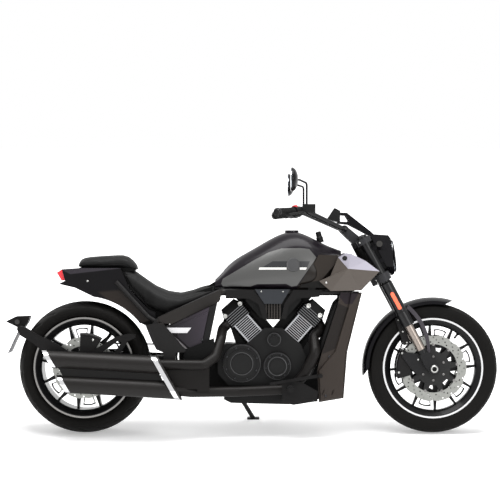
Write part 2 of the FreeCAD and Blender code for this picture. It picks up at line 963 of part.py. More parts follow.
def fender_tip(angle, side):
    """What a slanted cut takes off the fender's skirt at one end."""
    outer = "(fender_radius + fender_wall + 1)"
    skirt = "(fender_radius - fender_skirt - 20)"
    return prism(
        [
            (f"{outer} * cos({angle} - {side})", f"{outer} * sin({angle} - {side})"),
            (f"{skirt} * cos({angle} + {side} * 14)", f"{skirt} * sin({angle} + {side} * 14)"),
            (f"{skirt} * cos({angle} - {side} * 6)", f"{skirt} * sin({angle} - {side} * 6)"),
            (f"{outer} * cos({angle} - {side} * 6)", f"{outer} * sin({angle} - {side} * 6)"),
        ],
        -100,
        100,
    )


def fender_stays():
    """Curved straps from the lower legs up to the fender's sides."""
    inner = "fender_half_width + fender_wall + seam"
    outer = "leg_spread - slider_radius - seam"
    body = new_body("fender_stay")
    strap = sketch(body, "XZ_Plane", f"-({outer})")
    outline(
        strap,
        [
            (-122, 312),
            ("via", -50, 224),
            (-16, 78),
            (-32, 76),
            ("via", -66, 214),
            (-134, 296),
        ],
    )
    pad(body, strap, f"{outer} - ({inner})", taper=0)
    doc.recompute()
    keep_shape(both_sides(body.Shape.copy()), "fender_stays", FRONT_AXLE)


def caliper(label, disc, plane, first, last, outer, sides, base):
    """A brake caliper bent round the disc, open where the disc runs."""
    body = new_body(label + "_block")
    section = sketch(body, "YZ_Plane")
    slot = "(disc_thickness / 2 + pad_clearance)"
    inside = f"({disc} - disc_band - 6)"
    outside = f"({disc} + 20)"
    outline(
        section,
        [
            (f"{plane} - caliper_depth / 2", inside),
            (f"{plane} - caliper_depth / 2", f"{outside} - 6"),
            (f"{plane} - caliper_depth / 2 + 6", outside),
            (f"{outer} - 6", outside),
            (outer, f"{outside} - 6"),
            (outer, inside),
            (f"{plane} + {slot}", inside),
            (f"{plane} + {slot}", f"{disc} + pad_clearance"),
            (f"{plane} - {slot}", f"{disc} + pad_clearance"),
            (f"{plane} - {slot}", inside),
        ],
    )
    revolve(body, section, "H_Axis", last - first)
    turn = Rotation(Vector(0, 1, 0), 90 - last)
    doc.recompute()
    shape = body.Shape.copy()
    shape.Placement = Placement(Vector(0, 0, 0), turn)
    shapes = [mirrored(shape) if side == RIGHT else shape for side in sides]
    return shapes


def front_calipers():
    outer = "(disc_plane + caliper_depth / 2)"
    shapes = caliper(
        "front_caliper", "front_disc_radius", "disc_plane", 148, 196, outer, (RIGHT, LEFT), FRONT_AXLE
    )
    keep_shape(Part.Compound(shapes), "front_calipers", FRONT_AXLE)


def clamped_legs(extra):
    """The fork's two legs between the clamps, as seen from the machine."""
    legs = []
    for side in (RIGHT, LEFT):
        leg = Part.makeCylinder(
            value("clamped_radius") + extra,
            value("upper_clamp - lower_clamp - lower_clamp_depth"),
            vector("-axle_lead", f"{side} * leg_spread", "lower_clamp + lower_clamp_depth"),
        )
        leg.Placement = Placement(vector(*FRONT_AXLE), FORK_TURN).multiply(leg.Placement)
        legs.append(leg)
    return legs


def shell_ears():
    """Ears behind the headlight shell that reach back to the legs, and its round back between them."""
    ears = []
    for low in (580, 650):
        for side in (RIGHT, LEFT):
            ear = Part.makeBox(
                46, 18, 20, vector("-axle_lead", f"{side} * (leg_spread - 16) - 9", low)
            )
            ears.append(ear)
    half = "(leg_spread - clamped_radius - 6)"
    start = "lower_clamp + lower_clamp_depth + 12"
    back = Part.makeBox(
        28, value(f"2 * {half}"), value("clamp_space - 24"), vector(8, f"-{half}", start)
    )
    ears.append(back)
    for ear in ears:
        ear.Placement = Placement(vector(*FRONT_AXLE), FORK_TURN).multiply(ear.Placement)
    return ears


def by_lamp(points):
    """Points drawn from where the upper clamp meets the fork's line."""
    drawn = []
    for point in points:
        x, z = point[-2:]
        drawn.append((*point[:-2], f"lamp_x + {x}", f"lamp_z + {z}"))
    return drawn


def headlight(screen):
    body = new_body("headlight_form")
    side = sketch(body, "XZ_Plane")
    outline(side, by_lamp([(14, 43), (106, 37), (118, 20), (138, -151), (126, -161), (114, -149)]))
    pad(body, side, "2 * headlight_half_width", middle=True)
    trim(
        body,
        "YZ_Plane",
        (-300, "lamp_z - 400", 300, "lamp_z + 300"),
        [
            ("-headlight_half_width * 0.62", "lamp_z + 63"),
            ("-headlight_half_width", "lamp_z - 37"),
            ("-headlight_half_width * 0.9", "lamp_z - 117"),
            ("-headlight_half_width * 0.5", "lamp_z - 167"),
            ("headlight_half_width * 0.5", "lamp_z - 167"),
            ("headlight_half_width * 0.9", "lamp_z - 117"),
            ("headlight_half_width", "lamp_z - 37"),
            ("headlight_half_width * 0.62", "lamp_z + 63"),
        ],
    )
    for side in (RIGHT, LEFT):
        arm = sketch(body, "XZ_Plane", f"{side} * 63 - 3")
        outline(
            arm,
            by_lamp(
                [(-142, 149), (-96, 147), (24, 53), (46, 31), (22, 31), (-88, 89), (-142, 95)]
            ),
        )
        outline(arm, by_lamp([(-130, 136), (-104, 134), (-88, 108), (-94, 102), (-130, 104)]))
        pad(body, arm, 6)
    doc.recompute()
    shell = body.Shape.fuse(shell_ears()).cut(screen).cut(clamped_legs(value("seam")))
    shell = max(shell.Solids, key=lambda solid: solid.Volume)
    keep_shape(shell, "headlight_shell")
    lens = new_body("headlight_lens")
    side = sketch(lens, "XZ_Plane")
    outline(side, by_lamp([(120.6, 3), (128, 1), (145, -133), (136.8, -135)]))
    pad(lens, side, "2 * lens_half_width", middle=True)
    trim(
        lens,
        "YZ_Plane",
        (-300, "lamp_z - 400", 300, "lamp_z + 300"),
        [
            (0, "lamp_z + 7"),
            ("via", "-lens_half_width * 0.86", "lamp_z - 19"),
            ("-lens_half_width", "lamp_z - 66"),
            ("via", "-lens_half_width * 0.86", "lamp_z - 113"),
            (0, "lamp_z - 139"),
            ("via", "lens_half_width * 0.86", "lamp_z - 113"),
            ("lens_half_width", "lamp_z - 66"),
            ("via", "lens_half_width * 0.86", "lamp_z - 19"),
        ],
    )
    keep(lens, "headlight_lens")
    return shell


def display():
    body = new_body("display")
    side = sketch(body, "XZ_Plane")
    outline(side, by_lamp([(-193, 115), (-156, 171), (-129, 157), (-136, 101)]))
    pad(body, side, "2 * display_half_width", middle=True)
    doc.recompute()
    form = body.Shape.copy()
    keep(body, "display")
    return form


def bar_points(side):
    return [
        vector("bar_centre_x", 0, "bar_centre_z"),
        vector("bar_centre_x", f"{side} * bar_centre_y", "bar_centre_z"),
        vector("bar_bend_x", f"{side} * bar_bend_y", "bar_bend_z"),
        vector("bar_end_x", f"{side} * bar_end_y", "bar_end_z"),
    ]


def handlebar():
    left = tube(bar_points(LEFT), value("bar_bend_radius"), value("bar_radius"))
    plug = Part.makeCylinder(value("grip_radius + 3"), 12, along_grip(-0.3), -grip_line())
    left = left.fuse(plug)
    keep_shape(left.fuse(mirrored(left)).removeSplitter(), "handlebar")


def along_grip(distance):
    """A point on the left grip's line, a distance in from the bar's end."""
    bend, end = bar_points(LEFT)[2:]
    return end + (bend - end).normalize() * distance


def grip_line():
    bend, end = bar_points(LEFT)[2:]
    return (bend - end).normalize()


def sleeve(start, length, radius):
    """A round sleeve on the left grip's line."""
    body = Part.makeCylinder(radius, length, along_grip(start), grip_line())
    bore = Part.makeCylinder(
        value("bar_radius + running_gap"), length + 2, along_grip(start - 1), grip_line()
    )
    return body.cut(bore)


def grips():
    grip = sleeve(0, value("grip_length"), value("grip_radius"))
    keep_shape(both_sides(grip), "grips")


def reservoir_form(extra):
    """The square fluid reservoir ahead of the lever's perch."""
    size = Vector(62, 44, 42)
    start = along_grip(value("grip_length") + 58) + Vector(12, -size.y / 2, -8)
    grow = Vector(extra, extra, extra)
    size = size + grow * 2
    return Part.makeBox(size.x, size.y, size.z, start - grow)


def hand_controls():
    start = value("grip_length") + 2
    housing = sleeve(start, 46, 24)
    perch = sleeve(start + 46, 26, 20)
    forward = Vector(1, 0, 0)
    reservoir = reservoir_form(0)
    link = Part.makeCylinder(11, 34, along_grip(start + 56), forward)
    pivot = along_grip(start + 56) + Vector(36, 0, 0)
    lever = tube(
        [pivot, pivot - grip_line() * 60 + Vector(6, 0, -4), along_grip(10) + Vector(44, 0, -12)],
        20,
        6,
    )
    unit = housing.fuse([perch, link, reservoir, lever])
    bore = Part.makeCylinder(
        value("bar_radius + running_gap"), 200, along_grip(start - 20), grip_line()
    )
    keep_shape(both_sides(unit.cut(bore)), "hand_controls")


def by_grip(x, y, z):
    """A point measured from the handlebar's outer bend."""
    return vector(f"bar_bend_x + {x}", f"bar_bend_y + {y}", f"bar_bend_z + {z}")


def mirror_oval(centre, share):
    """An upright oval across the machine, a share of the mirror's size."""
    oval = Part.Ellipse(
        centre + Vector(0, value("mirror_half_width") * share, 0),
        centre + Vector(0, 0, value("mirror_half_height") * share),
        centre,
    )
    return Part.Wire([oval.toShape()])


def mirrors():
    stem = tube(
        [by_grip(4, 42, 14), by_grip(4, 50, 132), by_grip(-32, 114, 146), by_grip(-50, 152, 146)], 16, 5
    )
    face = by_grip(-72, 176, 146)
    rings = []
    for along, share in ((0, 1), (0.35, 0.95), (0.75, 0.72), (1, 0.36)):
        centre = face + Vector(along * value("mirror_depth"), 0, 0)
        rings.append(mirror_oval(centre, share))
    shell = Part.makeLoft(rings, True, False)
    stem = stem.cut(reservoir_form(value("seam")))
    arm = max(stem.Solids, key=lambda solid: solid.Volume)
    keep_shape(both_sides(shell.fuse(arm)), "mirrors")
    back = face - Vector(value("seam"), 0, 0)
    glass = Part.Face(mirror_oval(back, 0.93)).extrude(Vector(-3.7, 0, 0))
    keep_shape(both_sides(glass), "mirror_glasses")


def front_indicators(shell):
    start = vector("lamp_x + 59", "headlight_half_width - 30", "lamp_z - 6")
    lamp = Part.makeCylinder(15, 71, start, Vector(0, 1, 0)).cut(shell)
    lamp = max(lamp.Solids, key=lambda solid: solid.CenterOfMass.y)
    keep_shape(both_sides(lamp), "front_indicators")


# Frame


def on_steering_axis(distance):
    """A point on the steering axis, a distance up the fork's own line."""
    base = vector("front_axle_x", 0, "front_axle_z")
    return base + FORK_TURN.multVec(vector("-steer_line", 0, distance))


def head_tube():
    low = "(lower_clamp + lower_clamp_depth + seam)"
    high = "(upper_clamp - seam)"
    start = on_steering_axis(low)
    axis = on_steering_axis(high) - start
    return Part.makeCylinder(value("head_tube_radius"), axis.Length, start, axis)


def head_bore():
    start = on_steering_axis("lower_clamp - 50")
    axis = on_steering_axis("upper_clamp + 50") - start
    return Part.makeCylinder(value("stem_radius + running_gap"), axis.Length, start, axis)


def pivot_plate():
    """The left plate that holds the swingarm's pivot, at the spar's end."""
    body = new_body("pivot_plate")
    plate = sketch(body, "XZ_Plane", "-plate_inner - plate_thickness")
    outline(
        plate,
        [
            (-515, 536),
            (-432, 548),
            (-316, 412),
            (-330, 404),
            (-366, 402),
            ("pivot_x + 26", "pivot_z"),
            ("via", "pivot_x", "pivot_z - 26"),
            ("pivot_x - 26", "pivot_z"),
            (-430, 404),
            (-462, 418),
            (-484, 460),
        ],
    )
    pad(body, plate, "plate_thickness")
    bore = sketch(body, "XZ_Plane")
    ring(bore, "pivot_x", "pivot_z", "pivot_radius + running_gap")
    pocket(body, bore)
    doc.recompute()
    return body.Shape.copy()


def spar_at(x):
    """How far out the spar's line runs at a place along it, behind the tank."""
    front = vector(-150, "spar_front_y", "spar_z")
    rear = vector(-447, "spar_y", 560)
    share = (x - front.x) / (rear.x - front.x)
    return front.y + share * (rear.y - front.y)


def rail_plate():
    """The deep flat plate on the outside of the spar, under the seat's edge."""
    corners = [
        Vector(x, spar_at(x) + 5, z)
        for x, z in ((-145, 709), (-157, 648), (-388, 540), (-440, 546), (-454, 574))
    ]
    face = Part.Face(Part.makePolygon(corners + corners[:1]))
    return face.extrude(vector(0, "rail_plate", 0))


def frame_spine():
    neck = on_steering_axis("lower_clamp + lower_clamp_depth + clamp_space * 0.357")
    spar = tube(
        [
            Vector(neck.x, 12, neck.z),
            vector(476, "spar_front_y - 7", "spar_z"),
            vector(330, "spar_front_y", "spar_z"),
            vector(-150, "spar_front_y", "spar_z"),
            vector(-447, "spar_y", 560),
            vector(-490, "spar_y", 505),
        ],
        40,
        value("spar_radius"),
    )
    strut_y = "(tail_half_width + strut_radius + seam)"
    strut = tube(
        [
            vector(-456, "spar_y - 6", 548),
            vector(-504, f"{strut_y} + 10", 574),
            vector(-582, strut_y, 658),
            vector(-662, strut_y, 746),
        ],
        20,
        value("strut_radius"),
    )
    side = spar.fuse([strut, pivot_plate(), rail_plate()])
    whole = head_tube().fuse([side, mirrored(side)]).cut(head_bore())
    keep_shape(whole.removeSplitter(), "frame_spine")
    return whole


def frame_cradle(spine):
    neck = on_steering_axis("lower_clamp + lower_clamp_depth + clamp_space * 0.24")
    y = "cradle_y"
    rail = tube(
        [
            Vector(neck.x, 14, neck.z),
            vector(417, y, 632),
            vector(347, y, 428),
            vector(278, y, 290),
            vector(190, y, "rail_z"),
            vector(-250, y, "rail_z"),
            vector(-338, y, 280),
            vector(-345, y, 620),
        ],
        40,
        value("cradle_radius"),
    )
    cross = []
    for x in (150, -220):
        start = vector(x, "-cradle_y", "rail_z")
        cross.append(
            Part.makeCylinder(value("cradle_radius - 3"), value("2 * cradle_y"), start, Vector(0, 1, 0))
        )
    whole = rail.fuse([mirrored(rail)] + cross + [stand_clevis()]).cut(spine).cut(head_bore())
    whole = max(whole.Solids, key=lambda solid: solid.Volume)
    keep_shape(whole, "frame_cradle")
    return whole


def swingarm():
    body = new_body("swingarm_side")
    arm = sketch(body, "XZ_Plane", "-arm_outer")
    outline(
        arm,
        [
            ("rear_axle_x - 34", "rear_axle_z"),
            ("via", "rear_axle_x", "rear_axle_z - 34"),
            ("rear_axle_x + 30", "rear_axle_z - 26"),
            ("pivot_x - 60", "pivot_z - 34"),
            ("pivot_x", "pivot_z - 30"),
            ("via", "pivot_x + 30", "pivot_z"),
            ("pivot_x", "pivot_z + 30"),
            ("pivot_x - 100", "pivot_z + 34"),
            (-638, 398),
            (-604, 454),
            (-566, 474),
            (-564, 489),
            (-602, 493),
            (-657, 479),
            (-772, 412),
            ("rear_axle_x - 26", "rear_axle_z + 28"),
        ],
    )
    pad(body, arm, "arm_thickness")
    window = sketch(body, "XZ_Plane")
    outline(window, [(-742, 372), (-560, 362), (-516, 346), (-700, 328)])
    pocket(body, window)
    gusset = sketch(body, "XZ_Plane")
    outline(gusset, [(-724, 404), (-664, 404), (-632, 452), (-650, 460)])
    pocket(body, gusset)
    bore = sketch(body, "XZ_Plane")
    ring(bore, "rear_axle_x", "rear_axle_z", "axle_radius + running_gap")
    pocket(body, bore)
    doc.recompute()
    side = body.Shape.copy()
    shaft = Part.makeCylinder(
        value("pivot_radius"),
        value("2 * (plate_inner + plate_thickness)"),
        vector("pivot_x", "-plate_inner - plate_thickness", "pivot_z"),
        Vector(0, 1, 0),
    )
    sleeve_body = Part.makeCylinder(
        21, value("2 * arm_inner"), vector("pivot_x", "-arm_inner", "pivot_z"), Vector(0, 1, 0)
    )
    bridge = Part.makeBox(
        46, value("2 * arm_inner"), 56, vector("pivot_x - 76", "-arm_inner", "pivot_z - 32")
    )
    whole = side.fuse([mirrored(side), shaft, sleeve_body, bridge])
    keep_shape(whole.removeSplitter(), "swingarm")


def rear_axle():
    body = new_body("rear_axle")
    section = sketch(body, "YZ_Plane")
    axle_outline(
        section,
        "(rear_disc_plane + disc_thickness / 2 + seam)",
        "(arm_inner - 8 - 2 * seam)",
        "(arm_outer + seam)",
        "(belt_plane + 2 + seam)",
    )
    revolve(body, section)
    keep(body, "rear_axle", REAR_AXLE)


def rear_caliper():
    outer = "(arm_inner - 8 - seam)"
    shape = caliper(
        "rear_caliper", "rear_disc_radius", "rear_disc_plane", 58, 96, outer, (RIGHT,), REAR_AXLE
    )[0]
    body = new_body("caliper_hanger")
    plate = sketch(body, "XZ_Plane", "arm_inner - 8 - seam")
    outline(
        plate,
        [
            (-26, 0),
            ("via", 0, -26),
            (26, 0),
            (60, 100),
            (78, 128),
            (60, 148),
            (-14, 158),
            (-16, 110),
        ],
    )
    pad(body, plate, 8)
    bore = sketch(body, "XZ_Plane")
    ring(bore, 0, 0, "axle_radius + running_gap")
    pocket(body, bore)
    doc.recompute()
    keep_shape(shape.fuse(body.Shape).removeSplitter(), "rear_caliper", REAR_AXLE)


def drive_belt():
    """The belt's loop round both pulleys, with its teeth inside."""
    big = value("pulley_radius + seam")
    small = value("sprocket_radius + seam")
    thickness = value("belt_thickness")
    centre = vector("rear_axle_x", 0, "rear_axle_z")
    front = vector("sprocket_x", 0, "sprocket_z")
    low = value("belt_plane - pulley_width / 2")
    wide = value("pulley_width")

    def loop(extra):
        along = front - centre
        lean = math.asin((big - small) / along.Length)
        slope = math.atan2(along.z, along.x)
        edges = []
        ends = []
        for sign in (1, -1):
            angle = slope + sign * (math.pi / 2 - lean)
            out = Vector(math.cos(angle), 0, math.sin(angle))
            ends.append((centre + out * (big + extra), front + out * (small + extra)))
        back = centre - along.normalize() * (big + extra)
        nose = front + along * (small + extra)
        edges.append(Part.LineSegment(ends[0][0], ends[0][1]).toShape())
        edges.append(Part.Arc(ends[0][1], nose, ends[1][1]).toShape())
        edges.append(Part.LineSegment(ends[1][1], ends[1][0]).toShape())
        edges.append(Part.Arc(ends[1][0], back, ends[0][0]).toShape())
        return Part.Face(Part.Wire(edges))

    belt = loop(thickness).cut(loop(0)).extrude(Vector(0, wide, 0))
    belt.translate(Vector(0, low, 0))
    keep_shape(belt, "drive_belt")


# Engine


def crankcase():
    body = new_body("crankcase")
    block = sketch(body, "XZ_Plane")
    case_points = [
        (-165, 296),
        (-165, 412),
        (-124, 444),
        ("crank_x - deck_x - deck_half_x", "crank_z + deck_z - deck_half_z"),
        ("crank_x - deck_x + deck_half_x", "crank_z + deck_z + deck_half_z"),
        ("crank_x + deck_x - deck_half_x", "crank_z + deck_z + deck_half_z"),
        ("crank_x + deck_x + deck_half_x", "crank_z + deck_z - deck_half_z"),
        (268, 376),
        (244, 290),
        (186, "engine_bottom"),
        (-112, "engine_bottom"),
    ]
    outline(block, case_points)
    pad(body, block, "2 * case_half_width", middle=True)
    for x, z, radius, depth, side in (
        (-47, 346, "clutch_cover_radius", "clutch_cover_depth", RIGHT),
        (127, 333, "alternator_cover_radius", "clutch_cover_depth - 8", RIGHT),
        (112, 462, 34, "clutch_cover_depth - 26", RIGHT),
        ("crank_x", 352, "clutch_cover_radius - 6", "alternator_cover_depth", LEFT),
    ):
        start = "case_half_width - 2"
        for share, rise, slope in ((1, -10, -7), (0.74, 0, -10), (0.5, 6, -30)):
            cover = sketch(body, "XZ_Plane", start if side == RIGHT else f"-({start})")
            ring(cover, x, z, f"({radius}) * {share}")
            feature = pad(body, cover, f"{depth} + {rise}", taper=slope if share == 1 else 0)
            feature.Reversed = side == LEFT
    for radius, start, depth in (
        (18, "case_half_width - 2", "belt_plane - pulley_width / 2 - case_half_width + 4"),
        ("sprocket_radius", "belt_plane - pulley_width / 2", "pulley_width"),
    ):
        boss = sketch(body, "XZ_Plane", f"-({start})")
        ring(boss, "sprocket_x", "sprocket_z", radius)
        feature = pad(body, boss, depth)
        feature.Reversed = True
    mount = sketch(body, "XZ_Plane")
    outline(mount, [(232, 300), (312, 330), (350, 440), (330, 468), (292, 468), (258, 420)])
    pad(body, mount, "1.3 * case_half_width", middle=True)
    keep(body, "crankcase")


CYLINDERS = (("rear", -1), ("front", 1))


def cylinder_place(lean):
    return Rotation(Vector(0, 1, 0), lean * value("half_vee"))


def vee(bodies):
    """Finished pieces turned to the two cylinders' lines."""
    doc.recompute()
    shapes = []
    for body, lean in bodies:
        shape = body.Shape.copy()
        shape.Placement = Placement(Vector(0, 0, 0), cylinder_place(lean))
        shapes.append(shape)
    return Part.Compound(shapes)


def corner_bar(drawing, across, side):
    """A machined strip that joins the fins' edges near a corner."""
    near = f"{across} * (cylinder_half_width - 24)"
    far = f"{across} * (cylinder_half_width - 17)"
    inside = f"{side} * (cylinder_half_width - 14)"
    outside = f"{side} * (cylinder_half_width + 2)"
    corners = [(near, inside), (far, inside), (far, outside), (near, outside)]
    outline(drawing, corners)


def cylinders():
    bodies = []
    for name, lean in CYLINDERS:
        body = new_body(name + "_cylinder")
        core = sketch(body, "XY_Plane", "deck_height + seam")
        ring(core, 0, 0, "cylinder_core")
        pad(body, core, "cylinder_length - 2 * seam")
        fin = sketch(body, "XY_Plane", "deck_height + seam")
        half = "cylinder_half_width"
        outline(
            fin,
            [
                (f"-{half} + 16", f"-{half}"),
                (f"{half} - 16", f"-{half}"),
                (half, f"-{half} + 16"),
                (half, f"{half} - 16"),
                (f"{half} - 16", half),
                (f"-{half} + 16", half),
                (f"-{half}", f"{half} - 16"),
                (f"-{half}", f"-{half} + 16"),
            ],
        )
        blade = pad(body, fin, "fin_thickness")
        rows(body, [blade], "Z_Axis", "cylinder_length - 2 * seam - fin_thickness", 11)
        bars = sketch(body, "XY_Plane", "deck_height + seam")
        for across in (-1, 1):
            for side in (-1, 1):
                corner_bar(bars, across, side)
        pad(body, bars, "cylinder_length - 2 * seam")
        bodies.append((body, lean))
    keep_shape(vee(bodies), "cylinders", ("crank_x", 0, "crank_z"))


def heads():
    bodies = []
    for name, lean in CYLINDERS:
        body = new_body(name + "_head")
        half = "head_half_width"
        deep = "head_half_depth"
        core = sketch(body, "XY_Plane", "head_base")
        outline(
            core,
            [
                (f"-{half} + 10", f"-{deep} + 14"),
                (f"{half} - 10", f"-{deep} + 14"),
                (f"{half} - 10", f"{deep} - 14"),
                (f"-{half} + 10", f"{deep} - 14"),
            ],
        )
        pad(body, core, "head_length")
        fin = sketch(body, "XY_Plane", "head_base")
        outline(
            fin,
            [
                (f"-{half}", f"-{deep} + 12"),
                (f"-{half} + 12", f"-{deep}"),
                (f"{half} - 12", f"-{deep}"),
                (half, f"-{deep} + 12"),
                (half, f"{deep} - 12"),
                (f"{half} - 12", deep),
                (f"-{half} + 12", deep),
                (f"-{half}", f"{deep} - 12"),
            ],
        )
        blade = pad(body, fin, "fin_thickness")
        rows(body, [blade], "Z_Axis", "head_length - fin_thickness", 6)
        cover = sketch(body, "XY_Plane", "head_top")
        outline(
            cover,
            [
                (f"-{half} + 6", f"-{deep} + 18"),
                (f"-{half} + 20", f"-{deep} + 2"),
                (f"{half} - 20", f"-{deep} + 2"),
                (f"{half} - 6", f"-{deep} + 18"),
                (f"{half} - 6", f"{deep} - 18"),
                (f"{half} - 20", f"{deep} - 2"),
                (f"-{half} + 20", f"{deep} - 2"),
                (f"-{half} + 6", f"{deep} - 18"),
            ],
        )
        pad(body, cover, "cover_length", taper=-24)
        bodies.append((body, lean))
    pair = vee(bodies)
    keep_shape(pair, "cylinder_heads", ("crank_x", 0, "crank_z"))
    placed = pair.copy()
    placed.translate(vector("crank_x", 0, "crank_z"))
    return placed


def intake_cover():
    body = new_body("intake_cover")
    hopper = sketch(body, "XZ_Plane")
    outline(hopper, [(18, "roof"), (190, "roof"), (149, 630), (149, 560), (67, 560), (67, 630)])
    pad(body, hopper, 220, middle=True)
    for side in (RIGHT, LEFT):
        strip = sketch(body, "XZ_Plane", f"{-side} * 110")
        outline(strip, [(70, 566), (146, 566), (146, 572), (70, 572)])
        ridge = pad(body, strip, 5)
        ridge.Reversed = side == LEFT
        rows(body, [ridge], "Z_Axis", 56, 5)
    box = sketch(body, "XZ_Plane")
    reach = "(head_base * sin(half_vee) - head_half_width * cos(half_vee) - 8)"
    outline(
        box,
        [
            (f"crank_x - {reach} - 34", "roof"),
            (f"crank_x + {reach} + 34", "roof"),
            (f"crank_x + {reach} + 34", 652),
            (f"crank_x + {reach}", 612),
            ("crank_x + 64", 568),
            ("crank_x - 64", 568),
            (f"crank_x - {reach}", 612),
            (f"crank_x - {reach} - 34", 652),
        ],
    )
    pad(body, box, 170, middle=True)
    keep(body, "intake_cover")


def engine_hangers():
    """Flat plates outside the spars that run down beside the intake cover."""
    rear = [
        (-126, "hanger_top"),
        (4, "hanger_top"),
        (60, 655),
        (80, 566),
        (58, 562),
        (34, 636),
        (-14, "hanger_low"),
        (-126, "hanger_low"),
    ]
    front = [
        (146, 566),
        (168, 562),
        (184, 628),
        (228, "hanger_low"),
        (330, "hanger_low + 8"),
        (350, "hanger_top"),
        (206, "hanger_top"),
        (162, 640),
    ]
    shapes = []
    for band in (rear, front):
        plate = prism(band, 0, 12)
        plate.translate(vector(0, "spar_front_y + spar_radius + seam", 0))
        shapes.extend([plate, mirrored(plate)])
    keep_shape(Part.Compound(shapes), "engine_hangers")


# Tank, seats and body panels


def tank_section(x, top, base, half):
    """A tank section: round over the top, flat underneath."""
    height = top - base
    side = [
        (0, top),
        (0.42 * half, top - 0.03 * height),
        (0.8 * half, top - 0.2 * height),
        (half, top - 0.52 * height),
        (0.97 * half, top - 0.84 * height),
        (0.78 * half, base),
    ]
    right = [Vector(x, -y, z) for y, z in reversed(side[1:])]
    left = [Vector(x, y, z) for y, z in side]
    curve = Part.BSplineCurve()
    curve.interpolate(right + left)
    floor = Part.LineSegment(left[-1], right[0])
    return Part.Wire([curve.toShape(), floor.toShape()])


TANK_STATIONS = (
    # along from the rear, share of the peak's height, share of the half width
    (0.0, 0.17, 0.56),
    (0.1, 0.4, 0.68),
    (0.28, 0.67, 0.87),
    (0.42, 0.85, 0.96),
    (0.56, 0.985, 1.0),
    (0.66, 0.99, 0.99),
    (0.8, 0.86, 0.9),
    (1.0, 0.67, 0.7),
)


def tank_form(lift):
    rear = value("tank_rear_x")
    length = value("tank_front_x") - rear
    base = value("tank_base_z")
    rise = value("tank_peak_z") - base
    wires = []
    for along, height, width in TANK_STATIONS:
        half = width * value("tank_half_width") + lift
        wires.append(tank_section(rear + along * length, base + height * rise, base - lift * 2, half))
    return Part.makeLoft(wires, True, False)


def fuel_tank():
    tunnel = Part.makeBox(
        value("tank_front_x - tank_rear_x + 20"),
        value("2 * tank_tunnel_half"),
        value("tank_tunnel_top - tank_base_z + 20"),
    )
    tunnel.translate(vector("tank_rear_x - 10", "-tank_tunnel_half", "tank_base_z - 20"))
    form = tank_form(0)
    whole = form.cut(tunnel)
    keep_shape(whole, "fuel_tank")
    outer = tank_form(value("panel_lift"))
    rear_edge = [(-5, 722), (-140, 722), (-148, 736), (-140, 760)]
    upper_edge = [(-63, 806), (16, 853), (85, 890), (148, 909), (237, 911), (283, 906), (318, 864)]
    lower_edge = [(222, 726), (196, 722), (170, 736), (27, 734)]
    window = prism(rear_edge + upper_edge + lower_edge, "panel_edge", 400)
    panel = outer.common(window).cut(form)
    solids = sorted(panel.Solids, key=lambda s: s.Volume)
    keep_shape(both_sides(solids[-1]), "tank_side_panels")
    return form


def fuel_cap(form):
    radius = value("cap_radius")
    column = Part.makeCylinder(radius, 400, vector("cap_x", 0, 800), Vector(0, 0, 1))
    top = form.common(column).BoundBox.ZMax
    high = top + value("cap_rise")
    cap = Part.makeCylinder(radius, 200, Vector(value("cap_x"), 0, high - 200), Vector(0, 0, 1))
    cap = max(cap.cut(form).Solids, key=lambda solid: solid.CenterOfMass.z)
    keep_shape(cap, "fuel_cap")


def plan_trim(body, points):
    trim(body, "XY_Plane", (-1400, -600, 1400, 600), points)


def rider_seat():
    body = new_body("rider_seat")
    side = sketch(body, "XZ_Plane")
    outline(
        side,
        [
            ("tank_rear_x - seam", 742),
            (-223, 729),
            ("via", -346, 689),
            (-470, 722),
            (-553, 787),
            (-578, "tail_deck_z - 4"),
            (-636, "tail_deck_z - 4"),
            (-590, 706),
            (-500, 612),
            (-440, 590),
            (-186, 704),
        ],
    )
    pad(body, side, "2 * seat_half_width", middle=True)
    plan_trim(
        body,
        [
            (-160, "seat_nose_half"),
            ("via", -250, "seat_nose_half + 26"),
            (-360, "seat_half_width"),
            ("via", -430, "seat_half_width"),
            (-470, "seat_half_width - 4"),
            (-510, "tail_half_width"),
            (-640, "tail_half_width - 2"),
            (-640, "-tail_half_width + 2"),
            (-510, "-tail_half_width"),
            (-470, "-seat_half_width + 4"),
            ("via", -430, "-seat_half_width"),
            (-360, "-seat_half_width"),
            ("via", -250, "-seat_nose_half - 26"),
            (-160, "-seat_nose_half"),
        ],
    )
    keep(body, "rider_seat")


def passenger_seat():
    body = new_body("passenger_seat")
    side = sketch(body, "XZ_Plane")
    base = "(tail_deck_z + seam)"
    outline(
        side,
        [
            (-848, base),
            (-850, "tail_deck_z + 8"),
            ("via", -838, "tail_deck_z + 38"),
            (-812, "tail_deck_z + 50"),
            ("via", -720, "tail_deck_z + 60"),
            (-634, "tail_deck_z + 65"),
            ("via", -598, "tail_deck_z + 52"),
            (-574, "tail_deck_z + 18"),
            (-566, base),
        ],
    )
    pad(body, side, "2 * pillion_half_width", middle=True)
    keep(body, "passenger_seat")


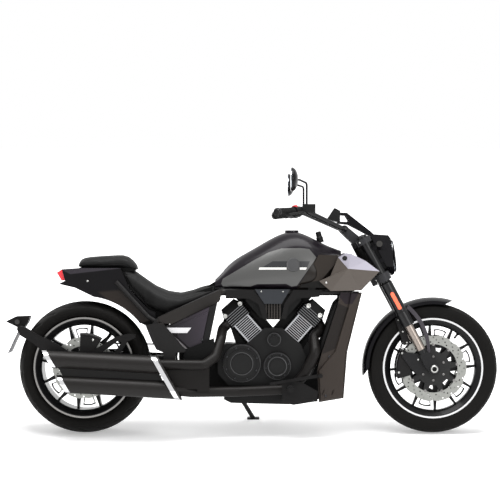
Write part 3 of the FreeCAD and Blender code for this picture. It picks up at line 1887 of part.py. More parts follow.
def tail_cowl():
    body = new_body("tail_cowl")
    side = sketch(body, "XZ_Plane")
    arch_x = "rear_axle_x"
    outline(
        side,
        [
            (-932, "tail_deck_z - 6"),
            (-846, "tail_deck_z"),
            (-641, "tail_deck_z"),
            (-594, 704),
            (-504, 609),
            (-446, 586),
            (-470, 566),
            (f"{arch_x} + tail_arch_radius * cos(38)", f"rear_axle_z + tail_arch_radius * sin(38)"),
            ("via", f"{arch_x} + tail_arch_radius * cos(62)", f"rear_axle_z + tail_arch_radius * sin(62)"),
            (f"{arch_x} + tail_arch_radius * cos(82)", f"rear_axle_z + tail_arch_radius * sin(82)"),
            (-866, 716),
            (-948, 734),
            (-916, 750),
        ],
    )
    pad(body, side, "2 * tail_half_width", middle=True)
    plan_trim(
        body,
        [
            (-470, "tail_half_width"),
            (-760, "tail_half_width"),
            ("via", -880, "tail_half_width - 20"),
            (-950, "tail_end_half"),
            (-950, "-tail_end_half"),
            ("via", -880, "-tail_half_width + 20"),
            (-760, "-tail_half_width"),
            (-470, "-tail_half_width"),
        ],
    )
    keep(body, "tail_cowl")


def tail_light():
    body = new_body("tail_light")
    side = sketch(body, "XZ_Plane")
    outline(side, [(-932.8, 806), (-944, 798), (-958, 790), (-934, 750), (-917, 752)])
    pad(body, side, "2 * tail_end_half - 8", middle=True)
    keep(body, "tail_light")


def side_panel(label, points, inner, depth, relief=None, extra=(), around=None):
    """A pair of side panels, perhaps with a raised field, what stands inside and room for what they pass."""
    body = new_body(label + "_side")
    side = sketch(body, "XZ_Plane", f"-({inner}) - ({depth})")
    outline(side, points)
    pad(body, side, depth)
    if relief:
        height, field = relief
        raised = sketch(body, "XZ_Plane", f"-({inner}) - ({depth}) - ({height})")
        outline(raised, field)
        pad(body, raised, height, taper=24)
    doc.recompute()
    panel = body.Shape.copy()
    if extra:
        panel = panel.fuse(list(extra))
    if around:
        panel = panel.cut(around)
    panel = max(panel.Solids, key=lambda solid: solid.Volume)
    keep_shape(both_sides(panel), label)


def side_covers():
    boss = Part.makeCylinder(
        9,
        value("side_cover_inner + 1 - cradle_y - cradle_radius - seam"),
        vector(-344, "cradle_y + cradle_radius + seam", 505),
        Vector(0, 1, 0),
    )
    side_panel(
        "side_covers",
        [(-170, 639), (-386, 537), (-428, 519), (-314, 411), (-245, 404), (-219, 404)],
        "side_cover_inner",
        "side_cover_thickness",
        ("side_cover_relief", [(-366, 527), (-208, 601), (-248, 419), (-302, 424), (-360, 479)]),
        [boss],
    )


def crowned_panel(corners, peak, inner, edge, crown):
    """A side panel whose flat facets rise from its outline to one point."""
    low = [vector(x, inner, z) for x, z in corners]
    rim_line = [vector(x, f"{inner} + {edge}", z) for x, z in corners]
    top = vector(peak[0], f"{inner} + {crown}", peak[1])
    faces = [Part.Face(Part.makePolygon(low + low[:1]))]
    for here in range(len(corners)):
        after = (here + 1) % len(corners)
        wall = [low[here], low[after], rim_line[after], rim_line[here]]
        facet = [rim_line[here], rim_line[after], top]
        for loop in (wall, facet):
            faces.append(Part.Face(Part.makePolygon(loop + loop[:1])))
    solid = Part.makeSolid(Part.makeShell(faces))
    if solid.Volume < 0:
        solid.reverse()
    return solid


def cowls():
    cowl = crowned_panel(
        [(331, 749), (386, 701), (536, 704), (625, 797), (558, 847), (488, 882), (461, 886),
         (423, 865), (386, 776)],
        (470, 810),
        "cowl_inner",
        "cowl_edge",
        "cowl_thickness",
    )
    keep_shape(both_sides(cowl), "front_cowls")
    lug = [(278, "hanger_top + seam"), (314, "hanger_top + seam"), (314, 730), (278, 730)]
    side_panel(
        "cowl_infills",
        [(330, 878), (420, 875), (430, 858), (340, 752), (362, 716), (234, 718), (254, 746)],
        "infill_inner",
        "infill_thickness",
        extra=[prism(lug, "infill_inner", "infill_inner + 10")],
        around=tank_form(value("panel_lift + seam")),
    )


def radiator(cradle):
    body = new_body("radiator_core")
    core = sketch(body, "XZ_Plane")
    outline(core, [(445, 630), (484, 618), (428, 262), (390, 274)])
    pad(body, core, "2 * radiator_half_width", middle=True)
    doc.recompute()
    lugs = []
    for x, z in ((392, 560), (351, 440)):
        lug = prism(
            [(x, f"{z} - 12"), (x + 70, f"{z} - 12"), (x + 70, f"{z} + 12"), (x, f"{z} + 12")],
            "cradle_y - 12",
            "cradle_y + 12",
        )
        lug = max(lug.cut(cradle).cut(body.Shape).Solids, key=lambda solid: solid.CenterOfMass.x)
        lugs.extend([lug, mirrored(lug)])
    keep_shape(body.Shape.fuse(lugs).removeSplitter(), "radiator")
    slots = []
    for x in (342, 388):
        slot = [(x, 196), (x + 7, 196), (x + 16, 220), (x + 9, 220)]
        slots.append(prism(slot, "shroud_inner - 1", "shroud_inner + 60"))
    front_edge = [(540, 694), (468, 404), (450, 178)]
    side_panel(
        "radiator_shrouds",
        front_edge + [(330, 158), (322, 316), (344, 399), (421, 631), (436, 694)],
        "shroud_inner",
        "shroud_thickness",
        (
            "shroud_relief",
            [(530, 688), (459, 404), (441, 186), (339, 168), (331, 312), (411, 405), (477, 628), (488, 688)],
        ),
        around=Part.Compound(slots),
    )


def belly_pan():
    body = new_body("belly_pan")
    side = sketch(body, "XZ_Plane")
    roof = "(rail_z - cradle_radius + 3 - seam)"
    outline(side, [(326, 158), (197, 143), (-101, 150), (-136, 168), (-130, roof), (320, roof)])
    pad(body, side, "2 * (cradle_y - cradle_radius) - 8", middle=True)
    keep(body, "belly_pan")


# Exhaust


def header_pipes(ports):
    radius = value("pipe_radius")
    rear = tube(
        [
            Vector(-87, -30, 566),
            Vector(-141, -62, 514),
            Vector(-150, -140, 462),
            Vector(-176, -196, 380),
            Vector(-230, -232, 344),
            vector(-510, "muffler_y", "upper_muffler_z - 14"),
        ],
        42,
        radius,
    )
    front = tube(
        [
            Vector(303, -20, 566),
            Vector(354, -50, 516),
            Vector(305, -98, 478),
            Vector(312, -160, 400),
            Vector(262, -160, 300),
            Vector(196, -150, 222),
            Vector(-60, -152, 211),
            Vector(-290, -200, 211),
            vector(-450, "muffler_y", "lower_muffler_z - 15"),
        ],
        42,
        radius,
    )
    link = prism([(-262, 344), (-204, 344), (-204, 214), (-262, 214)], -230, -206)
    box = prism([(-440, 334), (-240, 330), (-240, 226), (-440, 226)], -230, -206)
    ends = slant("muffler_front_x + seam", "muffler_mid_z", True)
    pipes = rear.fuse([front, link, box]).removeSplitter().common(ends).cut(ports)
    keep_shape(max(pipes.Solids, key=lambda solid: solid.Volume), "header_pipes")


def muffler_start(z, shift):
    """A point on a muffler's own line, at its rear end."""
    return vector(f"muffler_rear_x + {shift}", "muffler_y", f"{z} + 11")


def muffler_line():
    return vector(1, 0, "-muffler_fall").normalize()


def muffler_body(z, shift, extra):
    """One muffler, straight and slightly tapered, longer than its slanted ends."""
    along = muffler_line()
    return Part.makeCone(
        value("muffler_rear_radius") + extra,
        value("muffler_front_radius") + extra,
        value("muffler_length"),
        muffler_start(z, shift) - along * value("muffler_overhang"),
        along,
    )


def slant(x, z, ahead):
    """All that lies ahead of or behind a line through a point, slanted like the mufflers' ends."""
    lean = math.tan(math.radians(value("muffler_rake")))
    reach = 900 if ahead else -900
    middle = vector(x, -400, z)
    low = middle + Vector(400 * lean, 0, -400)
    high = middle + Vector(-400 * lean, 0, 400)
    corners = [low, high, high + Vector(reach, 0, 0), low + Vector(reach, 0, 0)]
    face = Part.Face(Part.makePolygon(corners + corners[:1]))
    return face.extrude(Vector(0, 400, 0))


def mufflers():
    """Two mufflers with a web between them, slash tips, and one collar round both."""
    rear = ("muffler_rear_x", "muffler_rear_z")
    front = ("muffler_front_x", "muffler_mid_z")
    lines = (("upper_muffler_z", 0), ("lower_muffler_z", 50))
    shells = []
    tips = []
    rings = []
    for z, shift in lines:
        along = muffler_line()
        bore = Part.makeCylinder(value("muffler_bore"), 150, muffler_start(z, shift) - along * 80, along)
        shells.append(muffler_body(z, shift, 0).cut(bore))
        band = muffler_body(z, shift, value("band_thickness")).cut(muffler_body(z, shift, 0.02))
        tip = band.common(slant(*rear, True))
        tips.append(tip.common(slant("muffler_rear_x + tip_length", "muffler_rear_z", False)))
        rings.append(muffler_body(z, shift, value("band_thickness")))
    body = shells[0].fuse([shells[1], muffler_web("muffler_web / 2")])
    body = body.common(slant(*rear, True)).common(slant(*front, False))
    web_gap = muffler_web("muffler_web / 2 + 1")
    web_gap = web_gap.cut(slant("muffler_rear_x + tip_length + 8", "muffler_rear_z", True).common(
        slant("muffler_front_x - collar_length - 8", "muffler_mid_z", False)
    ))
    body = body.cut(web_gap.cut(shells))
    keep_shape(body.removeSplitter(), "mufflers")
    outer = rings[0].fuse([rings[1], muffler_web("muffler_front_radius + band_thickness - 1")])
    collar = outer.common(slant(*front, False))
    collar = collar.common(slant("muffler_front_x - collar_length", "muffler_mid_z", True))
    inside = [muffler_body(z, shift, 0.02) for z, shift in lines]
    inside.append(muffler_web("muffler_front_radius - 5"))
    keep_shape(Part.Compound(tips + [collar.cut(inside)]), "muffler_bands")


def muffler_web(half):
    """A flat block between the two mufflers' lines, half as thick as named each way."""
    rise = "muffler_fall * 700"
    corners = [
        ("muffler_rear_x - 60", "upper_muffler_z + 11"),
        ("muffler_rear_x + 640", f"upper_muffler_z + 11 - {rise}"),
        ("muffler_rear_x + 690", f"lower_muffler_z + 11 - {rise}"),
        ("muffler_rear_x - 10", "lower_muffler_z + 11"),
    ]
    return prism(corners, f"muffler_y - ({half})", f"muffler_y + ({half})")


# Rear lamps, controls and stand


def plate_bracket():
    y_arm = "-arm_outer - seam - 12"
    upper_edge = [(-812, 352), (-907, 421), (-981, 464), (-1034, 486), (-1090, 522), (-1126, 532)]
    lower_edge = [(-1140, 516), (-1123, 486), (-1061, 448), (-1024, 416), (-900, 340), (-846, 318)]
    arm = prism(upper_edge + lower_edge, y_arm, "-arm_outer - seam")
    axle_end = vector("rear_axle_x", "-arm_outer - 40", "rear_axle_z")
    hole = Part.makeCylinder(value("axle_nut_radius + 1"), 60, axle_end, Vector(0, 1, 0))
    cross = Part.makeCylinder(9, 260, vector(-1130, y_arm, 520), Vector(0, 1, 0))
    visor = [(-1211, 549), (-1162, 573), (-1092, 576), (-1100, 548), (-1125, 510), (-1152, 520)]
    fin = prism(visor, -46, 46)
    keep_shape(arm.cut(hole).fuse([cross, fin]).removeSplitter(), "plate_bracket")
    sheet_edge = [(-1133, 524), (-1136, 522.5), (-1195, 396), (-1192, 394.5)]
    plate = prism(sheet_edge, "-plate_half_width", "plate_half_width")
    keep_shape(plate.cut(fin.fuse(cross)), "number_plate")
    lamp = Part.makeCylinder(12, 40, Vector(-1150, 46.3, 548), Vector(0, 1, 0))
    keep_shape(both_sides(lamp), "rear_indicators")


def foot_controls():
    inner = "(cradle_y + cradle_radius + 66)"
    plate = prism(
        [(148, 268), (240, 260), (324, 214), (318, 166), (206, 148), (150, 160)],
        inner,
        f"{inner} + 8",
    )
    under = "(rail_z - cradle_radius - seam)"
    lower = prism([(150, 168), (186, 168), (186, 184), (150, 184)], "cradle_y - 12", f"{inner} + 1")
    seat = prism([(150, 168), (186, 168), (186, under), (150, under)], "cradle_y - 12", "cradle_y + 12")
    peg = Part.makeCylinder(13, 96, vector(190, f"{inner} + 8", 226), Vector(0, 1, 0))
    unit = plate.fuse([lower, seat, peg])
    lever = [(88, 256), (338, 300), (346, 290), (334, 282), (90, 243)]
    arm = prism(lever, f"{inner} + 7", f"{inner} + 16")
    pedal = Part.makeCylinder(10, 48, vector(336, f"{inner} + 8.3", 291), Vector(0, 1, 0))
    unit = unit.fuse([arm, pedal]).removeSplitter()
    keep_shape(both_sides(unit), "foot_controls")


def stand_pivot():
    return vector("stand_x", "stand_y", "stand_z")


def ground(x, y):
    """A point on the ground, seen from the upright machine."""
    lean = math.radians(value("stand_lean"))
    return Vector(x, y, y * math.tan(lean) - value("machine_lift") / math.cos(lean))


def stand_foot():
    reach = vector("stand_x + stand_forward", "stand_y + stand_out", 0)
    return ground(reach.x, reach.y)


def stand_axis():
    """The hinge's line: square to the leg in use and to the leg folded."""
    used = stand_foot() - stand_pivot()
    folded = vector("-stand_fold_back", "stand_fold_out", "stand_fold_up")
    return used.cross(folded).normalize()


def hinge_place():
    """Along Z the hinge's line, along X the way in to the frame's rail."""
    axis = stand_axis()
    rail = vector(0, "cradle_y - stand_y", "rail_z - stand_z")
    across = axis.cross(rail).normalize()
    inward = across.cross(axis)
    return Placement(stand_pivot(), Rotation(inward, across, axis, "ZXY"))


def side_stand():
    """The stand as it is used: out to the left and forwards, its foot flat on the ground."""
    pivot = stand_pivot()
    foot = stand_foot()
    tilt = Rotation(Vector(1, 0, 0), value("stand_lean"))
    size = vector("foot_length", "foot_width", "foot_thickness")
    sole = Part.makeBox(size.x, size.y, size.z, Vector(-size.x / 2, -size.y / 2, 0))
    sole.Placement = Placement(foot, tilt)
    ankle = foot + tilt.multVec(Vector(0, 0, size.z / 2))
    along = ankle - pivot
    leg = Part.makeCylinder(value("stand_radius"), along.Length, pivot, along)
    eye = Part.makeCylinder(value("eye_radius"), value("eye_length"), vector(0, 0, "-eye_length / 2"))
    eye.Placement = hinge_place().multiply(eye.Placement)
    bore = Part.makeCylinder(value("pin_radius + running_gap"), 80, Vector(0, 0, -40))
    bore.Placement = hinge_place().multiply(bore.Placement)
    under = Part.makeBox(400, 400, 80, Vector(-200, -200, -80))
    under.Placement = Placement(foot, tilt)
    whole = leg.fuse([eye, sole]).cut(bore).cut(under)
    keep_shape(whole.removeSplitter(), "side_stand")


def stand_clevis():
    """Two ears, a web and a pin, welded to the frame's left rail."""
    half = value("eye_length / 2 + seam")
    ear = value("ear_thickness")
    radius = value("eye_radius")
    reach = (vector(0, "cradle_y", "rail_z") - vector(0, "stand_y", "stand_z")).Length
    parts = []
    for low in (half, -half - ear):
        parts.append(Part.makeCylinder(radius, ear, Vector(0, 0, low)))
        parts.append(Part.makeBox(reach, 2 * radius - 4, ear, Vector(0, 2 - radius, low)))
    web = reach - radius - 4
    parts.append(Part.makeBox(web, 2 * radius - 4, 2 * (half + ear), Vector(reach - web, 2 - radius, -half - ear)))
    parts.append(Part.makeCylinder(value("pin_radius"), 2 * (half + ear), Vector(0, 0, -half - ear)))
    clevis = parts[0].fuse(parts[1:])
    clevis.Placement = hinge_place()
    return clevis


def motorcycle():
    front_wheel()
    rear_wheel()
    fork_tubes()
    fork_sliders()
    front_axle()
    triple_clamps()
    fork_reflectors()
    front_fender()
    fender_stays()
    front_calipers()
    shell = headlight(display())
    handlebar()
    grips()
    hand_controls()
    mirrors()
    front_indicators(shell)
    cradle = frame_cradle(frame_spine())
    swingarm()
    rear_axle()
    rear_caliper()
    drive_belt()
    crankcase()
    cylinders()
    ports = heads()
    intake_cover()
    engine_hangers()
    fuel_cap(fuel_tank())
    rider_seat()
    passenger_seat()
    tail_cowl()
    tail_light()
    side_covers()
    cowls()
    radiator(cradle)
    belly_pan()
    header_pipes(ports)
    mufflers()
    plate_bracket()
    foot_controls()
    side_stand()


motorcycle()
doc.recompute()

failed = [part.Name for part in doc.Objects if {"Invalid", "Error"} & set(part.State)]
failed += [part.Label for part in nodes if part.Shape.isNull() or not part.Shape.isValid()]
if failed:
    raise SystemExit("failed: " + ", ".join(failed))

os.makedirs("parts", exist_ok=True)
for part in nodes:
    part.Shape.exportStep(f"parts/{part.Label}.step")
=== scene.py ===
import json
import math

import bpy
import numpy as np
from mathutils import Matrix, Vector
from mathutils.bvhtree import BVHTree


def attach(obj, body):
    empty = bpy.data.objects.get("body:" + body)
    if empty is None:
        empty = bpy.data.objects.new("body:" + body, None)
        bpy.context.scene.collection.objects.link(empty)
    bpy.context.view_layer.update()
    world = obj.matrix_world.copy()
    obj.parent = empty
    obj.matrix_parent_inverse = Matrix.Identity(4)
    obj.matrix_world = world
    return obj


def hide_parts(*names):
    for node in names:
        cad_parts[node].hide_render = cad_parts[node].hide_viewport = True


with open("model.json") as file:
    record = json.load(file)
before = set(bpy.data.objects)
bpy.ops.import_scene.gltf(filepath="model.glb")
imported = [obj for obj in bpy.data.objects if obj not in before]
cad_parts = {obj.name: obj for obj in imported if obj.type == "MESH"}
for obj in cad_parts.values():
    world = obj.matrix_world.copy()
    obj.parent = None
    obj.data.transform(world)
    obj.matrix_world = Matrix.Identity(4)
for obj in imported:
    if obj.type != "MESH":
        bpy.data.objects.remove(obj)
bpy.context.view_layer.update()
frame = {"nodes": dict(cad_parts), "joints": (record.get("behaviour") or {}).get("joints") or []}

parts = frame["nodes"]
mm = 0.001

# The machine leans onto its side stand. Pieces are worked out on the upright machine
# and then leaned: worldPoint = lean @ uprightPoint + shift
layout = {
    "rearAxle": (-0.820, 0.0, 0.3246),
    "frontAxle": (0.895, 0.0, 0.3188),
    "rake": 28.0,
    "crank": (0.108, 0.0, 0.376),
    "halfVee": 41.5,
}
joints = {j["name"]: j for j in frame["joints"]}
acrossAxis = np.array(joints["rear_wheel_spin"]["axis"], float)
leanAngle = math.asin(-acrossAxis[2])
lean = np.array(Matrix.Rotation(-leanAngle, 3, "X"))
shift = np.array(joints["rear_wheel_spin"]["pos_m"]) - lean @ np.array(layout["rearAxle"])


def leaned(points):
    return np.asarray(points, float) @ lean.T + shift


# Mesh making


# Makes a piece from upright points in metres and faces as index rows, and lets it ride on a body
def meshPiece(name, points, faces, body, angle=None):
    mesh = bpy.data.meshes.new(name)
    mesh.from_pydata(leaned(points).tolist(), [], [list(f) for f in faces])
    mesh.validate()
    piece = bpy.data.objects.new(name, mesh)
    bpy.context.scene.collection.objects.link(piece)
    mesh.shade_smooth()
    if angle is not None:
        mesh.set_sharp_from_angle(angle=math.radians(angle))
    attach(piece, body)
    return piece


# Index rows of the quads of a grid of points, joined up where it closes
def gridFaces(rows, columns, closedRows=False, closedColumns=False):
    i = np.arange(rows if closedRows else rows - 1)
    j = np.arange(columns if closedColumns else columns - 1)
    i, j = np.meshgrid(i, j, indexing="ij")
    a = i * columns + j
    b = i * columns + (j + 1) % columns
    c = ((i + 1) % rows) * columns + (j + 1) % columns
    d = ((i + 1) % rows) * columns + j
    return np.stack([a, b, c, d], -1).reshape(-1, 4)


# Closes both ends of a tube of closed rings with one middle point each
def capped(points, faces, rows, columns, flip=False):
    points = points.reshape(-1, 3)
    first, last = points[:columns].mean(0), points[-columns:].mean(0)
    low, high = len(points), len(points) + 1
    ring = np.arange(columns)
    after = (ring + 1) % columns
    start = (rows - 1) * columns
    fan = [[low, a, b] for a, b in zip(after, ring)]
    fan += [[high, start + a, start + b] for a, b in zip(ring, after)]
    faces = [list(f) for f in faces] + fan
    if flip:
        faces = [f[::-1] for f in faces]
    return np.vstack([points, first, last]), faces


# Materials


# Linear colour from sRGB hex: c/12.92 below 0.04045, else ((c + 0.055)/1.055)^2.4
def hexColour(code):
    c = np.array([int(code[i:i + 2], 16) for i in (1, 3, 5)]) / 255
    return tuple(np.where(c < 0.04045, c / 12.92, ((c + 0.055) / 1.055) ** 2.4)) + (1.0,)


# Pattern scale at which one feature is this many millimetres wide
def perMm(size):
    return 1 / (size * mm)


def newMaterial(name):
    material = bpy.data.materials.new(name)
    material.use_nodes = True
    return material


# Sets a node's properties and inputs; an output given as a value is linked
def setInputs(owner, node, settings):
    for key, value in settings.items():
        if isinstance(value, bpy.types.NodeSocket):
            owner.node_tree.links.new(value, node.inputs[key])
        elif isinstance(key, str) and hasattr(node, key):
            setattr(node, key, value)
        else:
            node.inputs[key].default_value = value


# Adds a node with its settings and links, and returns one of its outputs
def addNode(owner, kind, settings, output=0):
    node = owner.node_tree.nodes.new("ShaderNode" + kind)
    setInputs(owner, node, settings)
    return node.outputs[output]


def setShader(material, settings):
    setInputs(material, material.node_tree.nodes["Principled BSDF"], settings)
    return material


# Object coordinates turned back onto the upright machine, about a centre: lean^T (p - leaned(centre))
def machineSpace(material, centre=(0, 0, 0)):
    place = addNode(material, "TexCoord", {}, "Object")
    back = np.array(Matrix.Rotation(leanAngle, 3, "X"))
    turned = {"Location": tuple(-back @ leaned(centre)), "Rotation": (leanAngle, 0, 0), "Vector": place}
    return addNode(material, "Mapping", turned)


# 1 inside a convex outline in X and Z, 0 outside: the product of clamp(distance / soft + 1/2) over its sides
def outlineMask(material, space, corners, soft=0.4 * mm):
    flat = np.asarray(corners, float)
    middle = flat.mean(0)
    mask = 1.0
    for a, b in zip(flat, np.roll(flat, -1, axis=0)):
        side = b - a
        normal = np.array([side[1], -side[0]]) / np.linalg.norm(side)
        if (middle - a) @ normal < 0:
            normal = -normal
        start = float(a @ normal)
        inward = (normal[0], 0, normal[1])
        reach = addNode(material, "VectorMath", {"operation": "DOT_PRODUCT", 0: space, 1: inward}, "Value")
        ends = {"From Min": start - soft, "From Max": start + soft}
        edge = addNode(material, "MapRange", {**ends, "Value": reach})
        mask = addNode(material, "Math", {"operation": "MULTIPLY", 0: mask, 1: edge})
    return mask


# First colour where share is 0 and second where it is 1, each a hex code or an output
def mixColour(material, first, second, share):
    ends = [hexColour(value) if isinstance(value, str) else value for value in (first, second)]
    return addNode(material, "Mix", {"data_type": "RGBA", 0: share, 6: ends[0], 7: ends[1]}, 2)


# Areas of other colours laid over one: each is a hex code, an outline in x and z and the softness of its edge
def withAreas(material, space, colour, areas):
    for code, corners, soft in areas:
        colour = mixColour(material, colour, code, outlineMask(material, space, corners, soft))
    return colour


# A colour times a factor that follows a pattern from low to high
def varied(material, colour, pattern, low, high):
    base = hexColour(colour)[:3] if isinstance(colour, str) else colour
    factor = addNode(material, "MapRange", {"To Min": low, "To Max": high, "Value": pattern})
    return addNode(material, "VectorMath", {"operation": "SCALE", 0: base, "Scale": factor})


enamel = {
    "rippleMm": 3,  # a real orange peel is finer than this and wouldn't show
    "ripple": 0.04,
    "cloudMm": 60,
    "change": 0.08,
    "roughSpread": (0.85, 1.2),
    "metallic": 0.0,
    "coat": 0.0,
    "specular": 0.5,
}


# Sprayed enamel: an even coat, with an orange peel that bends its highlights a little
def sprayedPaint(name, colour, roughness, **changes):
    look = {**enamel, **changes}
    material = newMaterial(name)
    place = addNode(material, "TexCoord", {}, "Object")
    ripple = addNode(material, "TexNoise", {"Scale": perMm(look["rippleMm"]), "Detail": 2.0, "Vector": place})
    cloud = addNode(material, "TexNoise", {"Scale": perMm(look["cloudMm"]), "Detail": 3.0, "Vector": place})
    shiny, dull = roughness * look["roughSpread"][0], roughness * look["roughSpread"][1]
    bump = {"Strength": look["ripple"], "Distance": 0.2 * mm, "Height": ripple}
    return setShader(material, {
        "Base Color": varied(material, colour, cloud, 1 - look["change"], 1 + look["change"]),
        "Roughness": addNode(material, "MapRange", {"To Min": shiny, "To Max": dull, "Value": cloud}),
        "Normal": addNode(material, "Bump", bump),
        "Metallic": look["metallic"],
        "Coat Weight": look["coat"],
        "Coat Roughness": 0.05,
        "Specular IOR Level": look["specular"],
    })


mouldPlastic = {"grainMm": 1.2, "grain": 0.12, "cloudMm": 45, "tone": (0.88, 1.12), "specular": 0.5}


# Injection-moulded plastic: a spark-eroded grain that breaks up the shine, drawn coarse enough to show
def mouldedPlastic(name, colour, roughness, **changes):
    look = {**mouldPlastic, **changes}
    material = newMaterial(name)
    place = addNode(material, "TexCoord", {}, "Object")
    grain = addNode(material, "TexVoronoi", {"Scale": perMm(look["grainMm"]), "Vector": place})
    cloud = addNode(material, "TexNoise", {"Scale": perMm(look["cloudMm"]), "Detail": 3.0, "Vector": place})
    bump = {"Strength": look["grain"], "Distance": 0.1 * mm, "Height": grain}
    return setShader(material, {
        "Base Color": varied(material, colour, cloud, *look["tone"]),
        "Normal": addNode(material, "Bump", bump),
        "Roughness": roughness,
        "Specular IOR Level": look["specular"],
    })


casting = {
    "gritMm": 1.6,
    "grit": 0.2,
    "cloudMm": 30,
    "tone": (0.8, 1.2),
    "roughSpread": (-0.06, 0.1),
    "metallic": 0.0,
    "specular": 0.18,
}


# Painted sand casting: the sand's grit shows as a soft unevenness under the coating
def castAlloy(name, colour, roughness, **changes):
    look = {**casting, **changes}
    material = newMaterial(name)
    place = addNode(material, "TexCoord", {}, "Object")
    grit = addNode(material, "TexNoise", {"Scale": perMm(look["gritMm"]), "Detail": 4.0, "Vector": place})
    cloud = addNode(material, "TexNoise", {"Scale": perMm(look["cloudMm"]), "Detail": 3.0, "Vector": place})
    shiny, dull = roughness + look["roughSpread"][0], roughness + look["roughSpread"][1]
    bump = {"Strength": look["grit"], "Distance": 0.25 * mm, "Height": grit}
    return setShader(material, {
        "Base Color": varied(material, colour, cloud, *look["tone"]),
        "Roughness": addNode(material, "MapRange", {"To Min": shiny, "To Max": dull, "Value": grit}),
        "Normal": addNode(material, "Bump", bump),
        "Metallic": look["metallic"],
        "Specular IOR Level": look["specular"],
    })


bare = {"scratchMm": 0.8, "scratch": 0.05, "roughSpread": (0.75, 1.3)}


# Bare metal, turned or ground: fine scratches change its shine a little, drawn coarse enough to show
def bareMetal(name, colour, roughness):
    material = newMaterial(name)
    place = addNode(material, "TexCoord", {}, "Object")
    fine = {"Scale": perMm(bare["scratchMm"]), "Detail": 3.0}
    scratch = addNode(material, "TexNoise", {**fine, "Vector": place})
    shiny, dull = roughness * bare["roughSpread"][0], roughness * bare["roughSpread"][1]
    bump = {"Strength": bare["scratch"], "Distance": 0.05 * mm, "Height": scratch}
    return setShader(material, {
        "Base Color": hexColour(colour),
        "Metallic": 1.0,
        "Roughness": addNode(material, "MapRange", {"To Min": shiny, "To Max": dull, "Value": scratch}),
        "Normal": addNode(material, "Bump", bump),
    })


lensPlastic = {"flute": 0.1, "clear": 0.0, "glow": 0.0, "roughness": 0.12}


# Moulded lens plastic, tinted through: a clear glossy skin over flutes that break up what lies behind
def clearPlastic(name, colour, fluteMm, **changes):
    look = {**lensPlastic, **changes}
    material = newMaterial(name)
    place = addNode(material, "TexCoord", {}, "Object")
    flute = addNode(material, "TexWave", {"Scale": perMm(fluteMm), "Distortion": 0.2, "Vector": place}, "Fac")
    bump = {"Strength": look["flute"], "Distance": 0.4 * mm, "Height": flute}
    return setShader(material, {
        "Base Color": hexColour(colour),
        "Roughness": look["roughness"],
        "Transmission Weight": look["clear"],
        "Emission Color": hexColour(colour),
        "Emission Strength": look["glow"],
        "Coat Weight": 0.6,
        "IOR": 1.49,
        "Normal": addNode(material, "Bump", bump),
    })


print("materials")
finishes = {
    # Enamel over steel and plastic: deep black with soft streaks of light along its edges
    "forkBlack": sprayedPaint("glossBlackEnamelOnSteel", "#0f0f10", 0.3, coat=0.1, specular=0.2),
    "bodyBlack": sprayedPaint("glossBlackEnamelOnAbs", "#060508", 0.28, coat=0.08, specular=0.1),
    "tankDark": sprayedPaint("pearlDarkGreyEnamel", "#110d12", 0.3, coat=0.12, specular=0.14),
    # Powder coat and baked heat paint: satin blacks that hold only a broad, dim sheen
    "frameBlack": sprayedPaint("satinBlackPowderCoat", "#0f0e0e", 0.5, ripple=0.1, specular=0.14),
    "exhaustBlack": sprayedPaint("satinBlackHeatPaint", "#141211", 0.42, metallic=0.2, specular=0.16),
    # Lacquers with metal in them: greys that turn lighter where they face the light
    "stayGrey": sprayedPaint("satinGreyEnamelOnSteel", "#332f35", 0.42, metallic=0.3),
    "gunmetal": sprayedPaint("satinGunmetalLacquer", "#3c3c3d", 0.38, metallic=0.3),
    "badge": sprayedPaint("silverLacquerOnAluminium", "#d5d4d6", 0.35, metallic=0.4),
    "plate": sprayedPaint("greyPrimerOnAluminium", "#55555a", 0.5),
    # Coated castings and forgings: dark and slightly grainy, with dull edges
    "caliperBlack": castAlloy("anodisedCastAluminium", "#151414", 0.42, metallic=0.2),
    "engineBlack": castAlloy("blackEnamelOnCastAluminium", "#0f0f0f", 0.4),
    "clampGrey": castAlloy("greyEnamelOnForgedAluminium", "#242426", 0.45, specular=0.2),
    # Moulded plastics: matt blacks and greys, the screen's alone polished
    "controlPlastic": mouldedPlastic("mouldedBlackNylon", "#101010", 0.5, specular=0.16),
    "deepBlack": mouldedPlastic("mouldedBlackPolypropylene", "#080808", 0.6, specular=0.1),
    "ribBrown": mouldedPlastic("mouldedBrownGreyNylon", "#2b2724", 0.55, specular=0.3),
    "plateBlue": mouldedPlastic("satinBlueGreyAbs", "#1c1f24", 0.45, specular=0.35),
    "redSwitch": mouldedPlastic("mouldedRedNylon", "#c3141b", 0.45),
    "screenBlack": mouldedPlastic("glossBlackPolycarbonate", "#08080a", 0.1, grain=0.0),
    # Bare and plated metals: bright points and rings, the oxide's a dim grey
    "turnedAlloy": bareMetal("turnedAluminium", "#85868a", 0.34),
    "discSteel": bareMetal("groundSteelButtons", "#7f7d7c", 0.38),
    "zinc": bareMetal("zincPlatedSteel", "#c9c9c6", 0.25),
    "blackOxide": bareMetal("blackOxideOnSteel", "#3b3b3d", 0.35),
    # Lenses: clear skin over colour, the lit ones with a faint glow of their own
    "amber": clearPlastic("mouldedAmberAcrylic", "#ff6a48", 4, glow=0.16),
    "red": clearPlastic("mouldedRedAcrylic", "#d8202c", 6, glow=0.3),
    "smoke": clearPlastic("smokedAcrylic", "#15120f", 6),
    "lens": clearPlastic("clearPolycarbonateLens", "#858a90", 18, clear=0.3),
}


# Flat mirror glass: silver behind a clear pane, a sharp image slightly dimmed by dust
def silveredGlass():
    material = newMaterial("silveredMirrorGlass")
    place = addNode(material, "TexCoord", {}, "Object")
    dust = addNode(material, "TexNoise", {"Scale": perMm(20), "Vector": place})
    return setShader(material, {
        "Base Color": hexColour("#9aa0a6"),
        "Metallic": 1.0,
        "Roughness": addNode(material, "MapRange", {"To Min": 0.01, "To Max": 0.05, "Value": dust}),
    })


